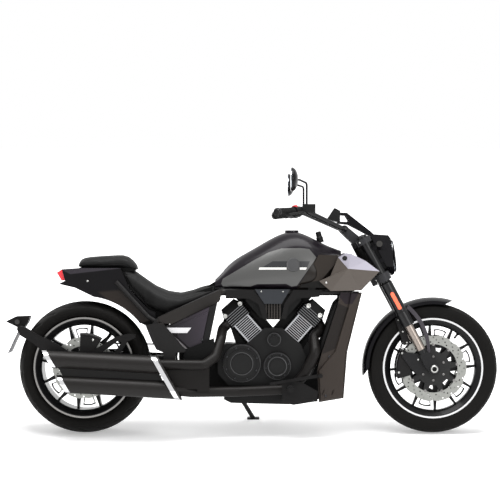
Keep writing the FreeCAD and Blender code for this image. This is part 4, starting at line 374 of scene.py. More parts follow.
rubber = {"grainMm": 1.5, "bloomMm": 70, "tone": (0.8, 1.35), "roughness": 0.68, "specular": 0.09}


# Moulded rubber: nearly matt, with a mould grain and a patchy grey bloom
def mouldedRubber(name, colour):
    material = newMaterial(name)
    place = addNode(material, "TexCoord", {}, "Object")
    grain = addNode(material, "TexNoise", {"Scale": perMm(rubber["grainMm"]), "Detail": 3.0, "Vector": place})
    bloom = addNode(material, "TexNoise", {"Scale": perMm(rubber["bloomMm"]), "Detail": 4.0, "Vector": place})
    return setShader(material, {
        "Base Color": varied(material, colour, bloom, *rubber["tone"]),
        "Normal": addNode(material, "Bump", {"Strength": 0.15, "Distance": 0.2 * mm, "Height": grain}),
        "Roughness": rubber["roughness"],
        "Specular IOR Level": rubber["specular"],
    })


wheelLook = {
    "black": "#0c0c0d",
    "machined": "#e9e9ea",
    "ringInner": 238.5 * mm,  # the bright ring along the rim's edge
    "ringOuter": 247.5 * mm,
    "turnedMm": 0.6,
}
rearWheelLook = dict(wheelLook, machined="#8e8c8a")


# Cast wheel in gloss black, its rim's edge turned bright afterwards: bright where ringInner < r < ringOuter
def wheelEnamel(name, axle, look):
    material = newMaterial(name)
    space = machineSpace(material, layout[axle])
    flat = addNode(material, "VectorMath", {"operation": "MULTIPLY", 0: space, 1: (1, 0, 1)})
    radius = addNode(material, "VectorMath", {"operation": "LENGTH", 0: flat}, "Value")
    inner = addNode(material, "Math", {"operation": "GREATER_THAN", 0: radius, 1: look["ringInner"]})
    outer = addNode(material, "Math", {"operation": "LESS_THAN", 0: radius, 1: look["ringOuter"]})
    ring = addNode(material, "Math", {"operation": "MULTIPLY", 0: inner, 1: outer})
    turned = addNode(material, "TexNoise", {"Scale": perMm(look["turnedMm"]), "Vector": space})
    return setShader(material, {
        "Base Color": mixColour(material, look["black"], look["machined"], ring),
        "Metallic": ring,
        "Roughness": addNode(material, "MapRange", {"To Min": 0.3, "To Max": 0.24, "Value": ring}),
        "Normal": addNode(material, "Bump", {"Strength": 0.03, "Distance": 0.1 * mm, "Height": turned}),
        "Coat Weight": 0.08,
        "Specular IOR Level": 0.16,
    })


discLook = {"steel": "#999a96", "carrier": "#161616", "latheMm": 1.2}
discInner = {"frontAxle": 118.6 * mm, "rearAxle": 106.6 * mm}  # inner edge of each steel band


# Ground steel band on a black anodised carrier, its grinding a faint change of shine: steel where the
# distance from the axle passes the band's inner edge
def discMetal(name, axle, look):
    material = newMaterial(name)
    space = machineSpace(material, layout[axle])
    flat = addNode(material, "VectorMath", {"operation": "MULTIPLY", 0: space, 1: (1, 0, 1)})
    radius = addNode(material, "VectorMath", {"operation": "LENGTH", 0: flat}, "Value")
    band = addNode(material, "Math", {"operation": "GREATER_THAN", 0: radius, 1: discInner[axle]})
    lathe = addNode(material, "TexNoise", {"Scale": perMm(look["latheMm"]), "Detail": 1.0, "Vector": flat})
    return setShader(material, {
        "Base Color": mixColour(material, look["carrier"], look["steel"], band),
        "Metallic": band,
        "Roughness": addNode(material, "MapRange", {"To Min": 0.22, "To Max": 0.4, "Value": lathe}),
        "Specular IOR Level": 0.3,
    })


finLook = {
    "black": "#111111",
    "machined": "#b4b5b8",
    "edge": 61.3 * mm,  # beyond this distance from a cylinder's middle plane the fins' edges are bare
    "outEdge": 61.3 * mm,  # and beyond this distance from the machine's middle plane
}
headFinLook = dict(finLook, machined="#77787a", edge=65.3 * mm, outEdge=73.3 * mm)


# Black enamelled fins with their edges machined bare: bright where |across| or |y| passes its edge,
# with across = |x| cos halfVee - z sin halfVee, both from the crank
def finPaint(name, look):
    material = newMaterial(name)
    space = machineSpace(material, layout["crank"])
    x, y, z = (addNode(material, "SeparateXYZ", {0: space}, axis) for axis in "XYZ")
    angle = math.radians(layout["halfVee"])
    x = addNode(material, "Math", {"operation": "ABSOLUTE", 0: x})
    alongX = addNode(material, "Math", {"operation": "MULTIPLY", 0: x, 1: math.cos(angle)})
    alongZ = addNode(material, "Math", {"operation": "MULTIPLY", 0: z, 1: math.sin(angle)})
    across = addNode(material, "Math", {"operation": "SUBTRACT", 0: alongX, 1: alongZ})
    across = addNode(material, "Math", {"operation": "ABSOLUTE", 0: across})
    out = addNode(material, "Math", {"operation": "ABSOLUTE", 0: y})
    wide = addNode(material, "Math", {"operation": "GREATER_THAN", 0: across, 1: look["edge"]})
    deep = addNode(material, "Math", {"operation": "GREATER_THAN", 0: out, 1: look["outEdge"]})
    edges = addNode(material, "Math", {"operation": "MAXIMUM", 0: wide, 1: deep})
    return setShader(material, {
        "Base Color": mixColour(material, look["black"], look["machined"], edges),
        "Metallic": edges,
        "Roughness": addNode(material, "MapRange", {"To Min": 0.45, "To Max": 0.3, "Value": edges}),
        "Specular IOR Level": 0.15,
    })


forkLook = {
    "black": "#121213",
    "plated": "#8b827b",
    "low": 0.112,
    "high": 0.250,
    "rear": -0.040,  # nothing farther behind the leg's line than this is plated
}


# Fork legs: black castings, with the sliding tube hard-plated between two heights along the leg,
# height = (p - axle) . (-sin rake, 0, cos rake) and ahead = (p - axle) . (cos rake, 0, sin rake)
def sliderFinish(look):
    material = newMaterial("hardChromeOnForkTube")
    space = machineSpace(material, layout["frontAxle"])
    rake = math.radians(layout["rake"])
    up = (-math.sin(rake), 0, math.cos(rake))
    forward = (math.cos(rake), 0, math.sin(rake))
    height = addNode(material, "VectorMath", {"operation": "DOT_PRODUCT", 0: space, 1: up}, "Value")
    ahead = addNode(material, "VectorMath", {"operation": "DOT_PRODUCT", 0: space, 1: forward}, "Value")
    above = addNode(material, "Math", {"operation": "GREATER_THAN", 0: height, 1: look["low"]})
    below = addNode(material, "Math", {"operation": "LESS_THAN", 0: height, 1: look["high"]})
    onLeg = addNode(material, "Math", {"operation": "GREATER_THAN", 0: ahead, 1: look["rear"]})
    between = addNode(material, "Math", {"operation": "MULTIPLY", 0: above, 1: below})
    plated = addNode(material, "Math", {"operation": "MULTIPLY", 0: between, 1: onLeg})
    return setShader(material, {
        "Base Color": mixColour(material, look["black"], look["plated"], plated),
        "Metallic": plated,
        "Roughness": addNode(material, "MapRange", {"To Min": 0.4, "To Max": 0.35, "Value": plated}),
        "Specular IOR Level": 0.2,
    })


railLook = {
    "black": "#131212",
    "plate": "#1a1715",
    "outline": [(-0.130, 0.716), (-0.150, 0.640), (-0.390, 0.532), (-0.452, 0.543), (-0.470, 0.580)],
    "slope": -0.2323,  # the plates stand out more towards the rear: |y| is over slope * x + start on them
    "start": 0.0817,
    "rippleMm": 3,
}


# Frame tubes in black powder coat, with the two flat rail plates sprayed brown-grey
def framePaint(look):
    material = newMaterial("satinBlackPowderCoatWithSprayedPlates")
    space = machineSpace(material)
    x, y = (addNode(material, "SeparateXYZ", {0: space}, axis) for axis in "XY")
    out = addNode(material, "Math", {"operation": "ABSOLUTE", 0: y})
    rise = addNode(material, "Math", {"operation": "MULTIPLY", 0: x, 1: look["slope"]})
    line = addNode(material, "Math", {"operation": "ADD", 0: rise, 1: look["start"]})
    outside = addNode(material, "Math", {"operation": "GREATER_THAN", 0: out, 1: line})
    inside = outlineMask(material, space, look["outline"])
    mask = addNode(material, "Math", {"operation": "MULTIPLY", 0: outside, 1: inside})
    ripple = addNode(material, "TexNoise", {"Scale": perMm(look["rippleMm"]), "Vector": space})
    return setShader(material, {
        "Base Color": mixColour(material, look["black"], look["plate"], mask),
        "Normal": addNode(material, "Bump", {"Strength": 0.06, "Distance": 0.2 * mm, "Height": ripple}),
        "Roughness": 0.48,
        "Specular IOR Level": 0.18,
    })


mufflerLook = {
    "black": "#1a1817",
    # the joint colour is painted shadow on the cans' inner sides
    "joint": "#070707",
    "jointFrom": 0.260,  # |y| where the cans start to leave their joint's shadow, and where they have left it
    "jointTo": 0.268,
    "chrome": "#dcdcde",
    "band": [(-0.5285, 0.460), (-0.5035, 0.460), (-0.3280, 0.150), (-0.3530, 0.150)],
    "tips": -0.86,  # behind this the bright slash tips start
    "cloudMm": 50,
}


# Baked black heat paint on the two cans, with painted shadow darkening them in the joint between them
def mufflerPaint(look):
    material = newMaterial("bakedBlackOnMufflers")
    space = machineSpace(material)
    y = addNode(material, "SeparateXYZ", {0: space}, "Y")
    out = addNode(material, "Math", {"operation": "ABSOLUTE", 0: y})
    ends = {"From Min": look["jointFrom"], "From Max": look["jointTo"]}
    shown = addNode(material, "MapRange", {**ends, "Value": out})
    cloud = addNode(material, "TexNoise", {"Scale": perMm(look["cloudMm"]), "Detail": 3.0, "Vector": space})
    return setShader(material, {
        "Base Color": mixColour(material, look["joint"], look["black"], shown),
        "Roughness": addNode(material, "MapRange", {"To Min": 0.34, "To Max": 0.5, "Value": cloud}),
        "Metallic": 0.2,
        "Specular IOR Level": 0.22,
    })


# Chrome plate on the slanted band round the mufflers and on their tips, heat paint on the rest
def bandChrome(look):
    material = newMaterial("chromedMufflerBand")
    space = machineSpace(material)
    x = addNode(material, "SeparateXYZ", {0: space}, "X")
    tips = addNode(material, "Math", {"operation": "LESS_THAN", 0: x, 1: look["tips"]})
    band = outlineMask(material, space, look["band"])
    bright = addNode(material, "Math", {"operation": "MAXIMUM", 0: tips, 1: band})
    return setShader(material, {
        "Base Color": mixColour(material, look["black"], look["chrome"], bright),
        "Metallic": bright,
        "Roughness": addNode(material, "MapRange", {"To Min": 0.42, "To Max": 0.12, "Value": bright}),
        "Specular IOR Level": 0.3,
    })


# In the looks below, an area is a colour, its outline in x and z and how far its edge fades
panelLook = {
    "grey": "#434342",
    "flakeMm": 0.9,
    "tone": (0.92, 1.1),
    "areas": [
        ("#1d1e20", [(0.052, 0.816), (0.103, 0.846), (0.286, 0.846), (0.272, 0.816)], 0.4 * mm),
        ("#e6e4e0", [(0.036, 0.8055), (0.040, 0.8155), (0.171, 0.8155), (0.171, 0.8055)], 0.4 * mm),
        ("#e6e4e0", [(0.236, 0.8055), (0.236, 0.8155), (0.270, 0.8155), (0.266, 0.8055)], 0.4 * mm),
    ],
}


# Satin gunmetal enamel with a dark band and a pale stripe masked and sprayed on it
def tankPanelPaint(look):
    material = newMaterial("satinGunmetalEnamel")
    space = machineSpace(material)
    flake = addNode(material, "TexVoronoi", {"Scale": perMm(look["flakeMm"]), "Vector": space})
    grey = varied(material, look["grey"], flake, *look["tone"])
    return setShader(material, {
        "Base Color": withAreas(material, space, grey, look["areas"]),
        "Metallic": 0.3,
        "Roughness": 0.42,
        "Coat Weight": 0.15,
        "Coat Roughness": 0.2,
    })


# Painted reflection: a pale area where the cowl's top facet would mirror the sky
paintedSkyReflection = [(0.423, 0.865), (0.461, 0.886), (0.488, 0.882), (0.558, 0.847), (0.625, 0.797), (0.470, 0.810)]
cowlLook = {
    "low": "#463f39",
    "areas": [("#8d8a95", paintedSkyReflection, 0.4 * mm)],
    "flakeMm": 0.9,
    "tone": (0.94, 1.08),
    "roughness": 0.36,
}


# Satin metallic enamel with a painted reflection of the sky: a pale area masked along the cowl's fold, on the
# facet that faces the sky
def cowlPaint(look):
    material = newMaterial("satinTitaniumEnamel")
    space = machineSpace(material)
    flake = addNode(material, "TexVoronoi", {"Scale": perMm(look["flakeMm"]), "Vector": space})
    both = withAreas(material, space, look["low"], look["areas"])
    return setShader(material, {
        "Base Color": varied(material, both, flake, *look["tone"]),
        "Metallic": 0.35,
        "Roughness": look["roughness"],
        "Coat Weight": 0.15,
        "Coat Roughness": 0.2,
    })


# Painted shade on the shroud's recessed facet, darker than the band round it
recessShade = [
    (0.4219, 0.6423), (0.4747, 0.6178), (0.4083, 0.4177),
    (0.3472, 0.3932), (0.3565, 0.4567), (0.4034, 0.5983),
]
topCorner = [(0.4132, 0.6935), (0.5254, 0.6935), (0.4913, 0.6374), (0.4570, 0.6374)]
shroudLook = {
    "outer": "#302a26",
    "areas": [("#1b1715", recessShade, 0.4 * mm), ("#1d171b", topCorner, 0.4 * mm)],
    "grainMm": 3,
}


# Radiator shrouds: brown-grey outer band, with painted shade masked on the recessed panel inside it, and a
# dark corner on top
def shroudPaint(look):
    material = newMaterial("satinBrownGreyShrouds")
    space = machineSpace(material)
    grain = addNode(material, "TexNoise", {"Scale": perMm(look["grainMm"]), "Vector": space})
    return setShader(material, {
        "Base Color": withAreas(material, space, look["outer"], look["areas"]),
        "Normal": addNode(material, "Bump", {"Strength": 0.05, "Distance": 0.2 * mm, "Height": grain}),
        "Roughness": 0.48,
        "Metallic": 0.2,
        "Specular IOR Level": 0.2,
    })


trimStrip = [(-0.4306, 0.5209), (-0.4256, 0.5259), (-0.3087, 0.4187), (-0.3137, 0.4137)]
frontEdge = [(-0.200, 0.645), (-0.140, 0.680), (-0.205, 0.404), (-0.250, 0.404)]
coverLook = {
    # Painted light: the rear and front tones are shading across the one plastic, not two colours
    "rear": "#131214",
    "front": "#332d35",
    "span": (-0.400, -0.175),  # x between which the rear tone turns into the front one
    "areas": [("#8b8789", trimStrip, 0.4 * mm), ("#0b0a0b", frontEdge, 0.4 * mm)],
    "grainMm": 1.2,
}


# Side covers in satin plastic with painted light: the colour runs from a darker rear to a lighter front, with
# a bright trim strip near the rear edge
def coverPlastic(look):
    material = newMaterial("satinPurpleGreyAbs")
    space = machineSpace(material)
    x = addNode(material, "SeparateXYZ", {0: space}, "X")
    ends = {"From Min": look["span"][0], "From Max": look["span"][1]}
    share = addNode(material, "MapRange", {**ends, "Value": x})
    colour = mixColour(material, look["rear"], look["front"], share)
    grain = addNode(material, "TexVoronoi", {"Scale": perMm(look["grainMm"]), "Vector": space})
    return setShader(material, {
        "Base Color": withAreas(material, space, colour, look["areas"]),
        "Normal": addNode(material, "Bump", {"Strength": 0.05, "Distance": 0.1 * mm, "Height": grain}),
        "Roughness": 0.42,
        "Specular IOR Level": 0.2,
    })


wheelSide = [
    (-0.752, 0.695), (-0.644, 0.705), (-0.497, 0.568),
    (-0.5166, 0.5406), (-0.5705, 0.5607), (-0.6686, 0.6299),
]
# Painted reflection: a grey band along the top of the gloss-black tail, where it would mirror the sky
paintedTopReflection = [(-0.9294, 0.802), (-0.845, 0.825), (-0.648, 0.825), (-0.640, 0.811), (-0.8897, 0.7824)]
tailLook = {
    "colour": "#050406",
    "roughness": 0.33,
    "areas": [("#221d1a", wheelSide, 6 * mm), ("#2e2b30", paintedTopReflection, 2 * mm)],
}
frontLobe = [(0.215, 0.700), (0.318, 0.868), (0.480, 0.868), (0.480, 0.700)]
tankLook = {"colour": "#110d12", "roughness": 0.3, "areas": [("#1f1b18", frontLobe, 1 * mm)]}
# Painted shade: the hollow at the infill's foot, painted near black
paintedFootShade = [(0.205, 0.695), (0.2568, 0.7426), (0.3306, 0.751), (0.385, 0.695)]
infillLook = {"colour": "#292420", "roughness": 0.5, "areas": [("#0a0908", paintedFootShade, 2 * mm)]}


# Sprayed enamel with areas of other colours, some of them painted reflection and painted shade: an even,
# softly shining coat with clean masked edges
def areaPaint(name, look):
    material = newMaterial(name)
    space = machineSpace(material)
    cloud = addNode(material, "TexNoise", {"Scale": perMm(enamel["cloudMm"]), "Detail": 3.0, "Vector": space})
    shiny, dull = look["roughness"] * enamel["roughSpread"][0], look["roughness"] * enamel["roughSpread"][1]
    return setShader(material, {
        "Base Color": withAreas(material, space, look["colour"], look["areas"]),
        "Roughness": addNode(material, "MapRange", {"To Min": shiny, "To Max": dull, "Value": cloud}),
        "Coat Weight": 0.08,
        "Coat Roughness": 0.08,
        "Specular IOR Level": 0.12,
    })


leatherLook = {"colour": "#101010", "pebbleMm": 2.2, "creaseMm": 28, "tone": (0.8, 1.25)}


# Grained cowhide over foam: pebbled cells of a few millimetres, soft sheen on the raised grain
def stitchedLeather(name, look):
    material = newMaterial(name)
    place = addNode(material, "TexCoord", {}, "Object")
    cells = {"feature": "SMOOTH_F1", "Scale": perMm(look["pebbleMm"])}
    pebble = addNode(material, "TexVoronoi", {**cells, "Vector": place})
    crease = addNode(material, "TexNoise", {"Scale": perMm(look["creaseMm"]), "Detail": 5.0, "Vector": place})
    return setShader(material, {
        "Base Color": varied(material, look["colour"], crease, *look["tone"]),
        "Roughness": addNode(material, "MapRange", {"To Min": 0.5, "To Max": 0.68, "Value": pebble}),
        "Normal": addNode(material, "Bump", {"Strength": 0.35, "Distance": 0.3 * mm, "Height": pebble}),
        "Specular IOR Level": 0.14,
    })


finishes.update({
    "mirror": silveredGlass(),
    "gripRubber": mouldedRubber("mouldedGripRubber", "#151515"),
    "beltRubber": mouldedRubber("toothedBeltRubber", "#121212"),
    "tyreRubber": mouldedRubber("mouldedTyreRubber", "#0e0d0c"),
    "frontDisc": discMetal("frontDiscSteel", "frontAxle", discLook),
    "rearDisc": discMetal("rearDiscSteel", "rearAxle", discLook),
    "fins": finPaint("machinedCylinderFins", finLook),
    "headFins": finPaint("machinedHeadFins", headFinLook),
    "slider": sliderFinish(forkLook),
    "spine": framePaint(railLook),
    "frontWheel": wheelEnamel("frontWheelEnamel", "frontAxle", wheelLook),
    "rearWheel": wheelEnamel("rearWheelEnamel", "rearAxle", rearWheelLook),
    "tankPanel": tankPanelPaint(panelLook),
    "tail": areaPaint("glossBlackEnamelOnTail", tailLook),
    "tankBody": areaPaint("pearlDarkGreyEnamelOnTank", tankLook),
    "infill": areaPaint("satinBrownGreyAbsInfill", infillLook),
    "mufflers": mufflerPaint(mufflerLook),
    "mufflerBand": bandChrome(mufflerLook),
    "shroud": shroudPaint(shroudLook),
    "sideCover": coverPlastic(coverLook),
    "cowl": cowlPaint(cowlLook),
    "leather": stitchedLeather("blackGrainedLeather", leatherLook),
})

nodeFinish = {
    "forkBlack": "fork_tubes handlebar",
    "clampGrey": "triple_clamps",
    "slider": "fork_sliders",
    "bodyBlack": "front_fender headlight_shell mirrors",
    "spine": "frame_spine",
    "frameBlack": "engine_hangers frame_cradle swingarm plate_bracket foot_controls side_stand",
    "tankBody": "fuel_tank",
    "tankDark": "fuel_cap",
    "tail": "tail_cowl",
    "exhaustBlack": "header_pipes",
    "mufflers": "mufflers",
    "mufflerBand": "muffler_bands",
    "infill": "cowl_infills",
    "shroud": "radiator_shrouds",
    "caliperBlack": "front_calipers rear_caliper",
    "engineBlack": "crankcase radiator",
    "fins": "cylinders",
    "headFins": "cylinder_heads",
    "controlPlastic": "hand_controls intake_cover belly_pan display",
    "sideCover": "side_covers",
    "frontDisc": "front_brake_discs",
    "rearDisc": "rear_brake_disc",
    "turnedAlloy": "rear_pulley",
    "gunmetal": "front_axle rear_axle",
    "stayGrey": "fender_stays",
    "amber": "fork_reflectors",
    "red": "tail_light",
    "smoke": "front_indicators rear_indicators",
    "lens": "headlight_lens",
    "mirror": "mirror_glasses",
    "gripRubber": "grips",
    "beltRubber": "drive_belt",
    "tyreRubber": "front_tyre rear_tyre",
    "frontWheel": "front_rim",
    "rearWheel": "rear_rim",
    "tankPanel": "tank_side_panels",
    "cowl": "front_cowls",
    "leather": "rider_seat passenger_seat",
    "plate": "number_plate",
}
creaseAngle = 32  # degrees between faces from which an edge stays crisp
for finish, names in nodeFinish.items():
    for name in names.split():
        mesh = parts[name].data
        mesh.materials.clear()
        mesh.materials.append(finishes[finish])
        mesh.shade_smooth()
        mesh.set_sharp_from_angle(angle=math.radians(creaseAngle))

# Tyres
print("tyres")
frontTyre = {
    "axle": "frontAxle",
    "outer": 319.4 * mm,
    "width": 129 * mm,
    "bead": 229.6 * mm,
    "pitches": 26,
    "grooveDepth": 4.5 * mm,
    "grooveWide": 0.085,  # share of a pitch
    "sweep": 0.9,  # how far a groove leans round the tyre, in pitches
    "treadShare": 0.93,  # of half the width, as the next three are
    "sag": 0.52,
    "seat": 0.58,
    "bulge": 0.07,
    "rings": ((0.22, 0.9), (0.62, 0.7), (0.86, 0.9)),  # place of each on the sidewall, and its height in mm
    "grooveEnds": (0.13, 0.9),  # shares of the tread between which the grooves run
    "steps": 620,  # points round the tyre
}
rearTyre = dict(
    frontTyre, axle="rearAxle", outer=324.4 * mm, width=238 * mm, pitches=22, sweep=1.5, grooveDepth=5 * mm,
)


# Section of a tyre: crown r = R - sag (1 - sqrt(1 - 0.86 |s|^2.2)) over the tread, then a sidewall that
# bulges by sin(pi u) between shoulder and bead, and a wall inside from bead to bead
def tyreSection(look):
    half = look["width"] / 2
    edge = look["treadShare"]
    s = np.linspace(-edge, edge, 41)
    sag = half * look["sag"]
    crown = look["outer"] - sag * (1 - np.sqrt(1 - np.abs(s) ** 2.2 * 0.86))
    u = np.linspace(0, 1, 17)[1:]
    edgeRadius = crown[-1]
    radius = edgeRadius + (look["bead"] - edgeRadius) * u
    seat = look["seat"] * half
    side = half * edge + (seat - half * edge) * u ** 1.6 + np.sin(np.pi * u) * half * look["bulge"]
    for ring, size in look["rings"]:
        side = side + size * mm * np.exp(-((u - ring) / 0.03) ** 2)
    inner = np.linspace(1, -1, 9)[1:-1]
    wall = look["bead"] + (edgeRadius - look["bead"]) * 0.25 * (1 - inner ** 2)
    r = np.concatenate([crown, radius, wall, radius[::-1]])
    y = np.concatenate([s * half, side, inner * seat, -side[::-1]])
    share = np.concatenate([s, np.full(len(r) - len(s), 2.0)])
    return r, y, share


# Tread: a groove where |frac(pitch * t / 2 pi + sweep * |s|^1.4) - 1/2| < wide, between two shares of the
# tread, with the other half of the tyre moved round by half a pitch, and one groove round the middle
def makeTyre(name, node, body, look):
    r, y, share = tyreSection(look)
    steps = look["steps"]
    low, high = look["grooveEnds"]
    t = np.linspace(0, 2 * np.pi, steps, endpoint=False)[:, None]
    phase = look["pitches"] * t / (2 * np.pi) + look["sweep"] * np.abs(share) ** 1.4 + 0.5 * (share > 0)
    near = np.abs(phase % 1 - 0.5) / look["grooveWide"]
    reach = np.clip((np.abs(share) - low) / 0.06, 0, 1) * np.clip((high - np.abs(share)) / 0.06, 0, 1)
    cut = look["grooveDepth"] * np.clip(1.6 - near, 0, 1) * reach
    cut = cut + 0.6 * look["grooveDepth"] * np.clip(1.5 - np.abs(share) / 0.035, 0, 1)
    radius = r - cut
    axle = np.array(layout[look["axle"]])
    across = np.broadcast_to(axle[1] + y, radius.shape)
    points = np.stack([axle[0] + radius * np.cos(t), across, axle[2] + radius * np.sin(t)], -1)
    faces = gridFaces(steps, len(r), True, True)
    tyre = meshPiece(name, points.reshape(-1, 3), faces[:, ::-1], body, angle=40)
    tyre.data.materials.append(finishes["tyreRubber"])
    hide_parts(node)
    return tyre


makeTyre("frontTyreTreaded", "front_tyre", "front_wheel", frontTyre)
makeTyre("rearTyreTreaded", "rear_tyre", "rear_wheel", rearTyre)

# Seats
print("seats")
cushion = {
    "voxel": 5 * mm,  # size of the mesh that swells
    "frames": 20,
    "quality": 4,
    "pressure": 4.0,
    "seamWide": 3 * mm,
    "flankFrom": 0.8,  # share of the half width from which the seam shows
    "flankSoft": 0.1,
    "endReach": 12 * mm,  # the seam also runs round the ends, this far from them
}
riderSeat = {
    "along": [-634, -620, -600, -586, -568, -548, -510, -470, -410, -346, -290, -223, -186, -180],
    "top": [808, 810, 810, 801, 793, 777, 750, 723, 698, 689, 702, 727, 739, 738],
    "low": [796, 772, 732, 706, 684, 662, 622, 600, 578, 606, 631, 661, 678, 690],
    "half": [96, 102, 105, 106, 107, 108, 114, 134, 142, 134, 118, 97, 85, 78],
    "crown": 14 * mm,
    "edge": 3.4,  # how square the section's upper corners are
    "swell": 5 * mm,
    "seamDrop": 30 * mm,  # seam below the top edge
    "seamDepth": 2.2 * mm,
}
passengerSeat = {
    "along": [-854, -850, -840, -822, -790, -720, -660, -634, -606, -586, -568, -560],
    "top": [826, 842, 854, 861, 866, 871, 874, 874, 866, 850, 828, 815],
    "low": [816, 814, 813.5, 813.5, 813.5, 813.5, 813.5, 813.5, 810, 804, 803, 805],
    "half": [70, 84, 92, 96, 98, 99, 99, 99, 97, 92, 84, 74],
    "crown": 10 * mm,
    "edge": 4.0,
    "swell": 4 * mm,
    "seamDrop": 42 * mm,
    "seamDepth": 2.0 * mm,
}


# A pad's section at x is |y / half|^e + |z' / height|^e = 1, with its top crowned by crown (1 - (y / half)^2)
def padForm(look, shrink, stations=90, around=72):
    along = np.array(look["along"]) * mm
    x = along[0] + (along[-1] - along[0]) * (0.5 - 0.5 * np.cos(np.linspace(0, np.pi, stations)))
    top, low, half = (np.interp(x, along, np.array(look[key]) * mm) for key in ("top", "low", "half"))
    top, low, half = top - shrink, low + shrink * 0.5, half - shrink
    middle, height = (top + low) / 2, (top - low) / 2
    a = np.linspace(0, 2 * np.pi, around, endpoint=False)[None, :]
    c, s = np.cos(a), np.sin(a)
    square = 2 / look["edge"]
    y = half[:, None] * np.sign(c) * np.abs(c) ** square
    z = middle[:, None] + height[:, None] * np.sign(s) * np.abs(s) ** square
    z = z - look["crown"] * (y / half[:, None]) ** 2 * (s > 0)
    points = np.stack([np.broadcast_to(x[:, None], y.shape), y, z], -1)
    return capped(points, gridFaces(stations, around, False, True), stations, around, flip=True)


# Air pressure swells the pad like cloth, which wrinkles it; no point goes farther than the swell:
# p = start + move * min(1, swell / |move|)
def puffed(piece, look):
    mesh = piece.data
    count = len(mesh.vertices)
    start = np.zeros(count * 3)
    mesh.vertices.foreach_get("co", start)
    start = start.reshape(-1, 3)
    cloth = piece.modifiers.new("fill", "CLOTH")
    cloth.settings.use_pressure = True
    cloth.settings.uniform_pressure_force = cushion["pressure"]
    cloth.settings.effector_weights.gravity = 0
    cloth.settings.quality = cushion["quality"]
    scene = bpy.context.scene
    cloth.point_cache.frame_start, cloth.point_cache.frame_end = 1, cushion["frames"]
    for step in range(1, cushion["frames"] + 1):
        scene.frame_set(step)
    shaped = piece.evaluated_get(bpy.context.evaluated_depsgraph_get()).data
    end = np.zeros(count * 3)
    shaped.vertices.foreach_get("co", end)
    move = end.reshape(-1, 3) - start
    size = np.linalg.norm(move, axis=1)[:, None]
    move = move * np.minimum(1, look["swell"] / np.maximum(size, 1e-9))
    scene.frame_set(1)
    piece.modifiers.remove(cloth)
    mesh.vertices.foreach_set("co", (start + move).ravel())
    mesh.update()


# The seam is a line at a fixed drop below the top: a groove of depth exp(-(d / seamWide)^2), d measured in z
def sewn(piece, look):
    mesh = piece.data
    count = len(mesh.vertices)
    points, normals = np.zeros(count * 3), np.zeros(count * 3)
    mesh.vertices.foreach_get("co", points)
    mesh.vertices.foreach_get("normal", normals)
    points, normals = points.reshape(-1, 3), normals.reshape(-1, 3)
    upright = (points - shift) @ lean
    x = upright[:, 0]
    along = np.array(look["along"]) * mm
    top = np.interp(x, along, np.array(look["top"]) * mm)
    half = np.interp(x, along, np.array(look["half"]) * mm)
    far = upright[:, 2] - (top - look["seamDrop"])
    flank = (np.abs(upright[:, 1]) / half - cushion["flankFrom"]) / cushion["flankSoft"]
    ends = (x < along[0] + cushion["endReach"]) | (x > along[-1] - cushion["endReach"])
    where = np.maximum(np.clip(flank, 0, 1), ends)
    depth = look["seamDepth"] * np.exp(-(far / cushion["seamWide"]) ** 2) * where
    mesh.vertices.foreach_set("co", (points - normals * depth[:, None]).ravel())
    mesh.update()


def makeSeat(name, node, look):
    shrink = 0.5 * look["swell"]
    points, faces = padForm(look, shrink)
    seat = meshPiece(name, points, faces, "chassis")
    remesh = seat.modifiers.new("skin", "REMESH")
    remesh.mode = "VOXEL"
    remesh.voxel_size = cushion["voxel"]
    skin = bpy.data.meshes.new_from_object(seat.evaluated_get(bpy.context.evaluated_depsgraph_get()))
    seat.modifiers.remove(remesh)
    seat.data = skin
    puffed(seat, look)
    divide = seat.modifiers.new("soften", "SUBSURF")
    divide.levels = divide.render_levels = 1
    skin = bpy.data.meshes.new_from_object(seat.evaluated_get(bpy.context.evaluated_depsgraph_get()))
    seat.modifiers.remove(divide)
    seat.data = skin
    sewn(seat, look)
    skin.materials.clear()
    skin.materials.append(finishes["leather"])
    skin.shade_smooth()
    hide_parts(node)
    return seat


makeSeat("riderSeatPad", "rider_seat", riderSeat)
makeSeat("passengerSeatPad", "passenger_seat", passengerSeat)

# Small fittings
print("fittings")


# A closed form turned about its own Z: points (r cos a, r sin a, h) for each (r, h) of the profile
def latheForm(profile, steps=16):
    profile = np.asarray(profile, float)
    a = np.linspace(0, 2 * np.pi, steps, endpoint=False)
    ring = np.stack([np.cos(a), np.sin(a)], -1)
    heights = np.broadcast_to(profile[:, None, 1:], (len(profile), steps, 1))
    points = np.concatenate([profile[:, None, :1] * ring[None], heights], -1)
    return capped(points, gridFaces(len(profile), steps, False, True), len(profile), steps)


# A flat outline of (across, up) pairs made thick along its own Z, its upper edge drawn in by a small bevel
def plateForm(corners, thick, bevel=0.6):
    flat = np.asarray(corners, float)
    turn = np.sum(flat[:, 0] * np.roll(flat[:, 1], -1) - np.roll(flat[:, 0], -1) * flat[:, 1])
    flat = flat if turn > 0 else flat[::-1]
    middle = flat.mean(0)
    reach = np.linalg.norm(flat - middle, axis=1)[:, None]
    inner = middle + (flat - middle) * (1 - bevel / reach)
    rings = [(flat, 0.0), (flat, thick - bevel), (inner, thick)]
    points = np.stack([np.column_stack([ring, np.full(len(flat), h)]) for ring, h in rings])
    return capped(points, gridFaces(3, len(flat), False, True), 3, len(flat))


